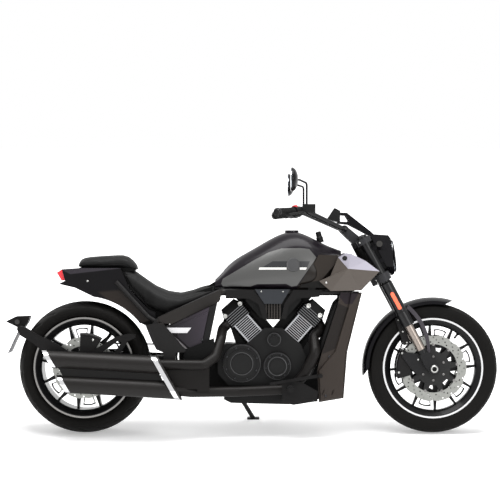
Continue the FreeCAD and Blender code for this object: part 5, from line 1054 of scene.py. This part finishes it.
# Copies of a form, each standing at a place with its own Z along out: p = place + x u + y v + z out
def stood(form, places, outs, up=(0, 0, 1)):
    points, faces = form
    places = np.atleast_2d(np.asarray(places, float))
    outs = np.broadcast_to(np.asarray(outs, float), places.shape)
    outs = outs / np.linalg.norm(outs, axis=1)[:, None]
    ups = np.broadcast_to(np.asarray(up, float), places.shape)
    u = np.cross(ups, outs)
    flat = np.linalg.norm(u, axis=1) < 1e-6
    u[flat] = (1.0, 0.0, 0.0)
    u /= np.linalg.norm(u, axis=1)[:, None]
    v = np.cross(outs, u)
    x, y, z = (points[None, :, k:k + 1] for k in range(3))
    whole = places[:, None] + x * u[:, None] + y * v[:, None] + z * outs[:, None]
    count = len(points)
    return whole.reshape(-1, 3), [[i + k * count for i in face] for k in range(len(places)) for face in faces]


# Several forms as one piece with one finish; places are in millimetres on the upright machine
def fitting(name, body, finish, groups, angle=30):
    points, faces = [], []
    for form, places, outs in groups:
        more, rows = stood(form, places, outs)
        start = sum(len(p) for p in points)
        points.append(more * mm)
        faces += [[i + start for i in row] for row in rows]
    piece = meshPiece(name, np.vstack(points), faces, body, angle=angle)
    piece.data.materials.append(finishes[finish])
    return piece


# Upright corners of a construction solid, in millimetres
def uprightPoints(name):
    mesh = parts[name].data
    points = np.zeros(len(mesh.vertices) * 3)
    mesh.vertices.foreach_get("co", points)
    matrix = np.array(parts[name].matrix_world)
    points = points.reshape(-1, 3) @ matrix[:3, :3].T + matrix[:3, 3]
    return (points - shift) @ lean / mm


# Where a line across the machine at (x, z), coming in from one side, first meets a solid, and which way that
# place faces: straight out where the surface slopes
def onSide(name, spots, side):
    points = uprightPoints(name)
    tree = BVHTree.FromPolygons(points.tolist(), [list(face.vertices) for face in parts[name].data.polygons])
    places, outs = [], []
    for x, z in spots:
        hit = tree.ray_cast(Vector((x, side * 700, z)), Vector((0, -side, 0)))
        if hit[0] is None:
            print("no surface under", name, x, z)
            continue
        places.append(tuple(hit[0]))
        outs.append(tuple(hit[1]) if hit[1].y * side > 0.9 else (0, side, 0))
    return places, outs


def roundSpots(middle, radius, count, start=0.0):
    a = np.radians(start) + np.linspace(0, 2 * np.pi, count, endpoint=False)
    return [(middle[0] + radius * math.cos(t), middle[1] + radius * math.sin(t)) for t in a]


# A cap screw with a six-sided socket, its head of a radius r and a height of 0.9 r
def capScrew(r, steps=12):
    profile = [(1.0, -0.4), (1.0, 0.72), (0.84, 0.9), (0.58, 0.9), (0.5, 0.35)]
    points, faces = latheForm(np.array(profile) * r, steps)
    socket = slice(3 * steps, 5 * steps)
    a = np.arctan2(points[socket, 1], points[socket, 0])
    six = math.cos(math.pi / 6) / np.cos((a + math.pi / 6) % (math.pi / 3) - math.pi / 6)
    points[socket, :2] *= six[:, None]
    return points, faces


screws = {
    "dark": [  # node, sides, spots in x and z, head radius, in millimetres
        ("crankcase", (-1,), roundSpots((-47, 346), 79, 8, 20), 5.0),
        ("crankcase", (-1,), roundSpots((127, 333), 56.5, 6, 10), 4.2),
        ("crankcase", (-1,), roundSpots((112, 462), 27.6, 4, 45), 2.8),
        ("crankcase", (1,), roundSpots((108, 352), 73.5, 8, 20), 5.0),
        ("side_covers", (-1, 1), [(-240, 463)], 6.0),
        ("radiator_shrouds", (-1, 1), [(380, 380), (362, 190)], 6.0),
    ],
    "bright": [
        ("crankcase", (-1,), [(286, 350)], 6.5),
        ("cylinder_heads", (-1, 1), [(-56, 637), (-129, 576), (279, 625), (335, 577)], 13.0),
        ("tail_cowl", (-1, 1), [(-802, 749)], 5.0),
        ("front_cowls", (-1, 1), [(365, 742)], 5.0),
        ("rear_caliper", (-1,), [(-772, 462)], 5.5),
    ],
    "steered": [
        ("front_calipers", (-1, 1), [(741, 394), (724, 300)], 6.0),
        ("fork_sliders", (-1, 1), [(818, 364)], 5.0),
        ("triple_clamps", (-1, 1), [(612, 752), (620, 738), (530, 936)], 4.0),
    ],
}


# Cap screws on the faces they are laid on, each standing square to its face
def screwSet(name, body, rows, finish):
    groups = []
    for node, sides, spots, size in rows:
        groups += [(capScrew(size), *onSide(node, spots, side)) for side in sides]
    return fitting(name, body, finish, groups)


screwSet("chassisScrews", "chassis", screws["bright"], "zinc")
screwSet("coverScrews", "chassis", screws["dark"], "blackOxide")
screwSet("forkScrews", "steering", screws["steered"], "zinc")

discParts = {
    "buttons": 9,
    "buttonProfile": [(7, -5.5), (7, 1.2), (5.5, 1.8), (3, 1.8), (2.4, 0.6)],  # radius and height, in mm
    "screws": 6,
    "screwCircle": 58,
    "screwHead": 6,
    "face": 2.5,  # from the disc's middle plane
    "front": {"planes": (-64, 64), "buttonCircle": 118},
    "rear": {"planes": (-124,), "buttonCircle": 106},
}


# Buttons that hold each disc band on its carrier's arms, and the screws of the carrier
def discSet(name, body, axle, end, look):
    groups = []
    middle = np.array(layout[axle])[[0, 2]] / mm
    button = latheForm(look["buttonProfile"], 14)
    buttonSpots = roundSpots(middle, end["buttonCircle"], look["buttons"], 90)
    screwSpots = roundSpots(middle, look["screwCircle"], look["screws"], 30)
    for plane in end["planes"]:
        side = math.copysign(1, plane)
        face = plane + side * look["face"]
        for spots, form in ((buttonSpots, button), (screwSpots, capScrew(look["screwHead"]))):
            groups.append((form, [(x, face, z) for x, z in spots], (0, side, 0)))
    return fitting(name, body, "discSteel", groups)


discSet("frontDiscButtons", "front_wheel", "frontAxle", discParts["front"], discParts)
discSet("rearDiscButtons", "rear_wheel", "rearAxle", discParts["rear"], discParts)

valveLook = {
    "profile": [(8, 0), (8, 4), (5.5, 6), (5, 20), (5.6, 20.5), (5.6, 27), (4, 28)],  # radius and height
    "rimInside": 209,
    "angle": 53,  # behind the axle, from the ground up
}


# A valve stem that stands inward from the rim
def valve(name, body, axle, y, look):
    t = math.radians(look["angle"])
    out = np.array([-math.cos(t), 0.0, -math.sin(t)])
    place = np.array(layout[axle]) / mm - out * look["rimInside"] + (0, y, 0)
    return fitting(name, body, "gripRubber", [(latheForm(look["profile"], 14), [place], out)])


valve("frontValve", "front_wheel", "frontAxle", 0, valveLook)
valve("rearValve", "rear_wheel", "rearAxle", -40, valveLook)

gripLook = {
    "end": (128, 452, 1080),
    "bend": (262, 258, 1090),
    "start": 3,
    "length": 124,
    "ribs": 13,
    "radius": 18.4,
    "rib": 1.6,
    # radius and height of the bar end weight
    "weight": [(9.5, -15), (10.5, -17.5), (15, -17), (17.5, -13), (17.5, -3), (14.5, -1)],
}


# Ribbed sleeves on the grips, r = radius + rib * |sin(pi ribs s)|, and turned weights on the bar's ends
def gripSleeves(look):
    s = np.linspace(0, 1, look["ribs"] * 6 + 1)
    radius = look["radius"] + look["rib"] * np.abs(np.sin(np.pi * look["ribs"] * s))
    sleeve = latheForm(np.column_stack([radius, look["start"] + s * look["length"]]), 28)
    weight = latheForm(look["weight"], 28)
    places, outs = [], []
    for side in (-1, 1):
        mirror = np.array([1, side, 1])
        end, bend = np.array(look["end"]) * mirror, np.array(look["bend"]) * mirror
        places.append(end)
        outs.append((bend - end) / np.linalg.norm(bend - end))
    fitting("gripRibs", "steering", "gripRubber", [(sleeve, places, outs)], angle=60)
    fitting("barEndWeights", "steering", "forkBlack", [(weight, places, outs)])


gripSleeves(gripLook)

smallParts = {
    "switch": [(-11, -9), (11, -9), (12, 5), (8, 9), (-8, 9), (-12, 5)],
    "switchThick": 9,
    "switchBevel": 2,
    "switchPlace": (210, -333, 1106),
    "switchOut": (-0.2, -0.25, 1),
    "lock": [(17, 0), (17, 26), (14, 30), (14, 52), (11.5, 55), (5, 56), (4, 53)],  # radius and height
    "lockPlace": (343, 0, 938),
    "lockOut": (-0.25, 0, 1),
    "button": [(12, -3), (12, 1.5), (10, 2.6), (3, 3), (2, 2.4)],
    "buttonPlace": (455, 861),
}


# The red engine switch, the ignition lock in front of the tank and a button on each cowl
def controls(look):
    rocker = plateForm(look["switch"], look["switchThick"], look["switchBevel"])
    switch = [(rocker, [look["switchPlace"]], look["switchOut"])]
    fitting("engineSwitch", "steering", "redSwitch", switch)
    lock = [(latheForm(look["lock"], 28), [look["lockPlace"]], look["lockOut"])]
    fitting("ignitionLock", "chassis", "controlPlastic", lock)
    button = latheForm(look["button"], 28)
    buttons = [(button, *onSide("front_cowls", [look["buttonPlace"]], side)) for side in (-1, 1)]
    fitting("cowlButtons", "chassis", "controlPlastic", buttons)


controls(smallParts)

emblemLook = {
    "middle": (204, 829),
    "radius": 34,
    "face": 2.2,  # heights off the panel of the face, of the rim round it and of the outer edge
    "rim": 3.6,
    "edge": 0.4,
    "rimFrom": 0.86,  # shares of the radius
    "rimTo": 0.95,
    "sunk": 2.0,
}


# Blank round boss on each tank panel: a flat face with a raised rim that follows the panel's surface,
# height off it = face for r < rimFrom, rim up to rimTo and edge beyond
def emblemBoss(name, side, look):
    rings, steps = 12, 48
    r = np.linspace(0, 1, rings + 1)[1:]
    a = np.linspace(0, 2 * np.pi, steps, endpoint=False)
    x = look["middle"][0] + look["radius"] * r[:, None] * np.cos(a)
    z = look["middle"][1] + look["radius"] * r[:, None] * np.sin(a)
    spots = np.stack([x, z], -1).reshape(-1, 2)
    places, outs = onSide("tank_side_panels", spots.tolist(), side)
    places, outs = np.array(places), np.array(outs)
    rise = np.where(r < look["rimFrom"], look["face"], np.where(r < look["rimTo"], look["rim"], look["edge"]))
    top = places + outs * np.repeat(rise, steps)[:, None]
    base = places - outs * look["sunk"]
    order = np.concatenate([base.reshape(rings, steps, 3)[::-1][:1], top.reshape(rings, steps, 3)[::-1]])
    points, faces = capped(order, gridFaces(rings + 1, steps, False, True), rings + 1, steps, flip=side > 0)
    boss = meshPiece(name, points * mm, faces, "chassis", angle=30)
    boss.data.materials.append(finishes["gunmetal"])
    return boss


emblemBoss("tankBossRight", -1, emblemLook)
emblemBoss("tankBossLeft", 1, emblemLook)


# A plate form for one side of the machine, from outline corners in x and z, standing out from y
def sidePlate(corners, side, y, thick, bevel=0.8):
    flat = np.asarray(corners, float)
    middle = flat.mean(0)
    form = plateForm([(side * (middle[0] - x), z - middle[1]) for x, z in flat], thick, bevel)
    return form, [(middle[0], side * y, middle[1])], (0, side, 0)


# The same plate on both sides of the machine
def bothSides(look):
    return [sidePlate(look["corners"], side, look["y"], look["thick"], look["bevel"]) for side in (-1, 1)]


badgeLook = {
    "corners": [(-412, 523), (-292, 523), (-312, 497), (-394, 497)], "y": 179.2, "thick": 2.4, "bevel": 1.2,
}
fitting("sideBadges", "chassis", "badge", bothSides(badgeLook))

pegLook = {
    "place": (190, 202, 226),
    "length": 84,
    "radius": 17,
    "core": 12,
    "ribs": 9,
    "ring": 1.8,
    "slope": 1.2,
}


# Footpeg rubbers with raised rings, r = radius + ring for two thirds of each pitch
def pegRubbers(look):
    pitch = look["length"] / look["ribs"]
    low, high = look["radius"], look["radius"] + look["ring"]
    profile = [(look["core"], 0)]
    for k in range(look["ribs"]):
        start, end = k * pitch, (k + 0.66) * pitch
        profile += [(low, start), (high, start + look["slope"]), (high, end), (low, end + look["slope"])]
    profile += [(low, look["length"]), (look["core"], look["length"])]
    places = [(look["place"][0], side * look["place"][1], look["place"][2]) for side in (-1, 1)]
    rubbers = [(latheForm(profile, 24), places, [(0, -1, 0), (0, 1, 0)])]
    return fitting("pegRubbers", "chassis", "gripRubber", rubbers)


pegRubbers(pegLook)

radiatorLook = {
    "top": (486.5, 623.6),
    "foot": (431.5, 267.6),
    "halfWidth": 118,
    "slats": 44,
    "bars": 9,
    "depth": 5,
    "barDepth": 4,
    "thick": 1.6,
}


# Cooling fins: thin slats one over another on the radiator's front face, and a few bars across them
def radiatorFins(look):
    top, foot = np.array(look["top"], float), np.array(look["foot"], float)
    along = (foot - top) / np.linalg.norm(foot - top)
    front = np.array([-along[1], 0.0, along[0]])
    share = np.linspace(0.04, 0.96, look["slats"])
    line = top + (foot - top) * share[:, None]
    places = np.column_stack([line[:, 0], np.zeros(len(line)), line[:, 1]])
    half, thick = look["halfWidth"], look["thick"] / 2
    slat = plateForm([(-half, -thick), (half, -thick), (half, thick), (-half, thick)], look["depth"], 0.3)
    middle = (top + foot) / 2
    tall = np.linalg.norm(foot - top) * 0.46
    bar = plateForm([(-1, -tall), (1, -tall), (1, tall), (-1, tall)], look["barDepth"], 0.3)
    across = [(middle[0], y, middle[1]) for y in np.linspace(-0.94, 0.94, look["bars"]) * half]
    fins = [(slat, places, front), (bar, across, front)]
    return fitting("radiatorFins", "chassis", "engineBlack", fins)


radiatorFins(radiatorLook)

lampLook = {
    "middle": (702.2, 870.9),
    "slope": -0.127,
    "half": (80, 75),
    "tube": 4.0,
    "stretch": 1.5,  # how much deeper than wide the bezel's tube is
    "ahead": 1.5,  # the bar and the hoop stand this far in front of the lens
    "bar": [(-70, -3.5), (70, -3.5), (70, 3.5), (-70, 3.5)],
    "barThick": 3,
    "barBevel": 1,
    "hoop": [(52, -2), (52, 2.6), (49, 2.6), (49, -1.5)],  # radius and height
}


# A bezel round the headlight lens, and the bar and hoop in front of it: the bezel is a tube on the oval
# y = a cos t, z = b sin t, leaning with the lens
def lampBezel(look):
    t = np.linspace(0, 2 * np.pi, 96, endpoint=False)
    y = look["half"][0] * np.cos(t)
    z = look["half"][1] * np.sin(t)
    path = np.stack([look["middle"][0] + look["slope"] * z, y, look["middle"][1] + z], -1)
    tangent = np.roll(path, -1, 0) - np.roll(path, 1, 0)
    tangent /= np.linalg.norm(tangent, axis=1)[:, None]
    front = np.array([1.0, 0.0, -look["slope"]]) / math.hypot(1, look["slope"])
    outward = np.cross(tangent, front)
    a = np.linspace(0, 2 * np.pi, 12, endpoint=False)
    c, s = np.cos(a)[None, :, None], np.sin(a)[None, :, None]
    ring = path[:, None] + look["tube"] * (c * outward[:, None] + look["stretch"] * s * front)
    faces = gridFaces(len(t), len(a), True, True)
    piece = meshPiece("lampBezel", ring.reshape(-1, 3) * mm, faces, "steering")
    piece.data.materials.append(finishes["bodyBlack"])
    place = [(look["middle"][0] + look["ahead"], 0, look["middle"][1])]
    bar = plateForm(look["bar"], look["barThick"], look["barBevel"])
    bars = [(bar, place, front), (latheForm(look["hoop"], 72), place, front)]
    fitting("lampBar", "steering", "bodyBlack", bars)


lampBezel(lampLook)

screenLook = {
    "low": (373, 1052),
    "high": (410, 1108),
    "halfWidth": 66,
    "inset": 5,
    "thick": 1.6,
    "bevel": 0.8,
}


# The display's glass, on the line from its low edge to its high edge, a little smaller than its housing
def displayGlass(look):
    low, high = np.array(look["low"], float), np.array(look["high"], float)
    span = np.linalg.norm(high - low)
    slope = (high - low) / span
    middle = (low + high) / 2
    half, reach = look["halfWidth"], span / 2 - look["inset"]
    corners = [(-half, -reach), (half, -reach), (half, reach), (-half, reach)]
    form = plateForm(corners, look["thick"], look["bevel"])
    glass = (form, [(middle[0], 0, middle[1])], (-slope[1], 0, slope[0]))
    return fitting("displayGlass", "steering", "screenBlack", [glass])


displayGlass(screenLook)

bracketLook = {
    "corners": [(706, 566), (737, 575), (782, 440), (748, 432)],
    "y": 74.0,
    "thick": 4,
    "bevel": 1,
    "screws": [(722, 557), (744, 500), (764, 446)],
    "screwHead": 4.5,
}


# Brackets that hold the front fender, each with three screws in a row
def fenderBrackets(look):
    face = look["y"] + look["thick"]
    head = capScrew(look["screwHead"])
    bolts = [(head, [(x, side * face, z) for x, z in look["screws"]], (0, side, 0)) for side in (-1, 1)]
    fitting("fenderBrackets", "steering", "caliperBlack", bothSides(look))
    fitting("fenderBracketScrews", "steering", "zinc", bolts)


fenderBrackets(bracketLook)

plateBolts = {"places": [(-1139.5, -58, 517), (-1139.5, 58, 517)], "out": (-0.9, 0, 0.436), "head": 4.5}
plateScrews = [(capScrew(plateBolts["head"]), plateBolts["places"], plateBolts["out"])]
fitting("plateScrews", "chassis", "zinc", plateScrews)

axleEnd = {
    "middle": (895, 318.8),
    "probe": 15,  # how far from the middle the axle's end face is felt for
    "ring": [(17, -6), (17, 1.5), (16, 2.5), (11, 2.5)],  # radius and height
    "plug": [(11.5, -2), (11.5, 3.0), (10, 3.4)],
}


# A bright ring and a dark plug on each end of the front axle
def axleEnds(look):
    x, z = look["middle"]
    faces = [onSide("front_axle", [(x + look["probe"], z)], side)[0][0][1] for side in (-1, 1)]
    places, outs = [(x, y, z) for y in faces], [(0, -1, 0), (0, 1, 0)]
    ring, plug = latheForm(look["ring"], 28), latheForm(look["plug"], 28)
    fitting("axleRings", "steering", "zinc", [(ring, places, outs)])
    fitting("axlePlugs", "steering", "deepBlack", [(plug, places, outs)])


axleEnds(axleEnd)

intakeLook = {
    "plate": [(16, 709), (190, 709), (147.5, 637.6), (63.6, 637.6)],
    "y": 134.0,
    "thick": 7.0,
    "bolts": [(48.5, 698), (155, 698)],
    "block": [(69, 561), (144, 561), (144, 637), (69, 637)],
    "blockStart": 60.0,
    "blockY": 112.0,
    "ribs": 6,
    "ribWide": 7.0,
    "ribDeep": 12.0,
    "screwHead": 4.0,
}


# Cover between the two heads with a ribbed duct under it, the ribs evenly spaced across the duct
def intakeSides(look):
    plates, blocks, ducts, bolts = [], [], [], []
    left, right = look["block"][0][0], look["block"][1][0]
    low, high = look["block"][0][1], look["block"][2][1]
    pitch = (right - left - look["ribWide"]) / (look["ribs"] - 1)
    for side in (-1, 1):
        plates.append(sidePlate(look["plate"], side, look["y"], look["thick"]))
        blocks.append(sidePlate(look["block"], side, look["blockStart"], look["blockY"] - look["blockStart"]))
        for k in range(look["ribs"]):
            x = left + k * pitch
            rib = [(x, low), (x + look["ribWide"], low), (x + look["ribWide"], high), (x, high)]
            ducts.append(sidePlate(rib, side, look["blockY"] - 1, look["ribDeep"], 1.2))
        outer = look["y"] + look["thick"]
        head = capScrew(look["screwHead"])
        bolts.append((head, [(x, side * outer, z) for x, z in look["bolts"]], (0, side, 0)))
    fitting("intakePlates", "chassis", "plateBlue", plates)
    fitting("intakeBlocks", "chassis", "deepBlack", blocks)
    fitting("intakeRibs", "chassis", "ribBrown", ducts)
    fitting("intakeScrews", "chassis", "zinc", bolts)


intakeSides(intakeLook)

tipFin = {"corners": [(919, 645), (968, 642), (954, 629)], "y": 50.0, "thick": 3.0, "bevel": 0.5}
fitting("fenderTipFins", "steering", "stayGrey", bothSides(tipFin))

# Dark block between the headlight shell and the fork
lampMount = {"corners": [(562, 962), (636, 962), (692, 800), (640, 782)], "halfWidth": 58}
mount = sidePlate(lampMount["corners"], 1, -lampMount["halfWidth"], 2 * lampMount["halfWidth"])
fitting("lampMount", "steering", "deepBlack", [mount])

# x, z and radius of each rim
coverRims = [(-47, 346, 92), (-47, 346, 56), (127, 333, 66), (127, 333, 47), (112, 462, 33)]


# Lacquered rims round the engine's round covers, each standing on the face just inside it
def coverRings(rims):
    rings = []
    for x, z, r in rims:
        face = onSide("crankcase", [(x + r - 3, z)], -1)[0][0]
        form = latheForm([(r, -3), (r, 1.2), (r - 2, 1.8), (r - 4, 0.6), (r - 4, -2.5)], 64)
        rings.append((form, [(x, face[1], z)], (0, -1, 0)))
    return fitting("coverRims", "chassis", "gunmetal", rings)


coverRings(coverRims)

# Painted shade: dark blocks behind the open places between the engine, the seat and the frame, standing in
# for the shade seen through them: corners in x and z, y to y
shadeFillers = {
    "veeFiller": [
        ([(29, 571), (187, 571), (280, 677), (-64, 677)], -48, 48),
        ([(-100, 692), (-45, 692), (105, 520), (50, 512)], -48, 48),
        ([(316, 692), (261, 692), (111, 520), (166, 512)], -48, 48),
    ],
    "tunnelEnd": [([(-218, 690), (-120, 690), (-120, 750), (-172, 750), (-218, 722)], -46, 46)],
    "cylinderFoot": [([(-108, 535), (-20, 470), (-20, 425), (-72, 425)], -50, 50)],
    "sumpFiller": [([(-100, 262), (40, 262), (40, 220), (-100, 220)], -60, 60)],
    "seatFoot": [([(-520, 640), (-400, 602), (-422, 566), (-475, 560), (-505, 590)], -90, 90)],
    "passengerSeatBase": [([(-846, 800), (-576, 796), (-570, 808), (-592, 814.5), (-846, 814.5)], -72, 72)],
    "rearEngineBlock": [([(-213, 352), (-165, 420), (-95, 435), (-95, 214), (-213, 214)], -60, 60)],
    "frontEngineBlock": [([(236, 525), (322, 525), (334, 411), (236, 411)], -50, 50)],
    "coolantSump": [([(256, 330), (345, 330), (346, 165), (256, 165)], -44, 44)],
    "bracketUnderCover": [([(-327, 415), (-182, 473), (-172, 356), (-298, 337), (-327, 376)], -190, -180)],
    "seatPanRear": [([(-634, 800), (-592, 708), (-502, 614), (-560, 740)], -92, 92)],
    "seatPanFront": [([(-502, 614), (-441, 596), (-190, 706), (-190, 722), (-440, 640)], -84, 84)],
    "tailFootPlates": [
        ([(-570, 578), (-496, 597), (-462, 568), (-433, 529), (-514, 529), (-536, 539)], low, high)
        for low, high in ((-104, -96), (96, 104))
    ],
}
for name, solids in shadeFillers.items():
    blocks = [sidePlate(corners, 1, start, end - start) for corners, start, end in solids]
    fitting(name, "chassis", "deepBlack", blocks)


# Floor, light and camera
print("studio")
studio = {
    "floorSize": 30.0,
    "floor": "#f4f4f4",
    "glowNear": 0.35,  # lifts the lit floor to plain white, so that only the contact shadow shows
    "glowFar": 1.0,
    "glowSpan": (1.6, 3.2),  # distances from the machine between which the lift grows, in metres
    "worldLight": 0.55,
    "lights": {  # place, what it faces and size in metres, and its power in watts
        "overheadSoftbox": ((0.2, -0.6, 4.2), (0, 0, 0.5), (4.5, 2.2), 260.0),
        "frontSoftbox": ((3.4, -4.2, 2.6), (0.2, 0, 0.5), (2.4, 2.4), 90.0),
        "rearSoftbox": ((-3.6, 3.2, 2.8), (-0.2, 0, 0.5), (2.6, 2.6), 60.0),
    },
}


# A flat square floor, brighter the farther it lies from the machine: strength grows with the length of p
def studioFloor(look):
    half = look["floorSize"] / 2
    corners = [(-half, -half, 0), (half, -half, 0), (half, half, 0), (-half, half, 0)]
    mesh = bpy.data.meshes.new("floor")
    mesh.from_pydata(corners, [], [(0, 1, 2, 3)])
    floor = bpy.data.objects.new("floor", mesh)
    bpy.context.scene.collection.objects.link(floor)
    material = newMaterial("paleStudioFloor")
    onFloor = addNode(material, "TexCoord", {}, "Object")
    away = addNode(material, "VectorMath", {"operation": "LENGTH", 0: onFloor}, "Value")
    span = {"From Min": look["glowSpan"][0], "From Max": look["glowSpan"][1]}
    lift = {"To Min": look["glowNear"], "To Max": look["glowFar"]}
    setShader(material, {
        "Base Color": hexColour(look["floor"]),
        "Roughness": 0.9,
        "Specular IOR Level": 0.0,
        "Emission Color": hexColour("#ffffff"),
        "Emission Strength": addNode(material, "MapRange", {**span, **lift, "Value": away}),
    })
    mesh.materials.append(material)


# White surroundings: plain white to the camera, reflections and what is seen through glass, dimmer as a light
def studioWorld(look):
    world = bpy.data.worlds.new("studio")
    bpy.context.scene.world = world
    world.use_nodes = True
    seen = 0.0
    for ray in ("Is Camera Ray", "Is Glossy Ray", "Is Transmission Ray"):
        hit = addNode(world, "LightPath", {}, ray)
        seen = addNode(world, "Math", {"operation": "MAXIMUM", 0: seen, 1: hit})
    strength = addNode(world, "MapRange", {"To Min": look["worldLight"], "To Max": 1.0, "Value": seen})
    setInputs(world, world.node_tree.nodes["Background"], {"Color": (1, 1, 1, 1), "Strength": strength})


studioFloor(studio)
studioWorld(studio)


def softbox(name, place, target, size, power):
    lamp = bpy.data.lights.new(name, "AREA")
    lamp.shape = "RECTANGLE"
    lamp.size, lamp.size_y = size
    lamp.energy = power
    box = bpy.data.objects.new(name, lamp)
    box.location = place
    box.rotation_euler = (Vector(target) - Vector(place)).to_track_quat("-Z", "Y").to_euler()
    bpy.context.scene.collection.objects.link(box)


for box, (place, target, size, power) in studio["lights"].items():
    softbox(box, place, target, size, power)

lens = {
    "place": (-0.0067, -10.5, 0.901),  # on the upright machine, in metres
    "pixels": 2121.0,  # focal length in the photograph's pixels
    "frame": 500.0,
    "sensor": 36.0,
}
camera = bpy.data.cameras.new("camera")
camera.sensor_width = lens["sensor"]
camera.lens = lens["sensor"] * lens["pixels"] / lens["frame"]
camera.clip_end = 100
eye = bpy.data.objects.new("camera", camera)
turned = Matrix(lean.tolist()) @ Matrix(((1, 0, 0), (0, 0, -1), (0, 1, 0)))  # looks along the machine's y
eye.matrix_world = Matrix.Translation(leaned(lens["place"])) @ turned.to_4x4()
bpy.context.scene.collection.objects.link(eye)
bpy.context.scene.camera = eye
bpy.context.scene.view_settings.view_transform = "Standard"
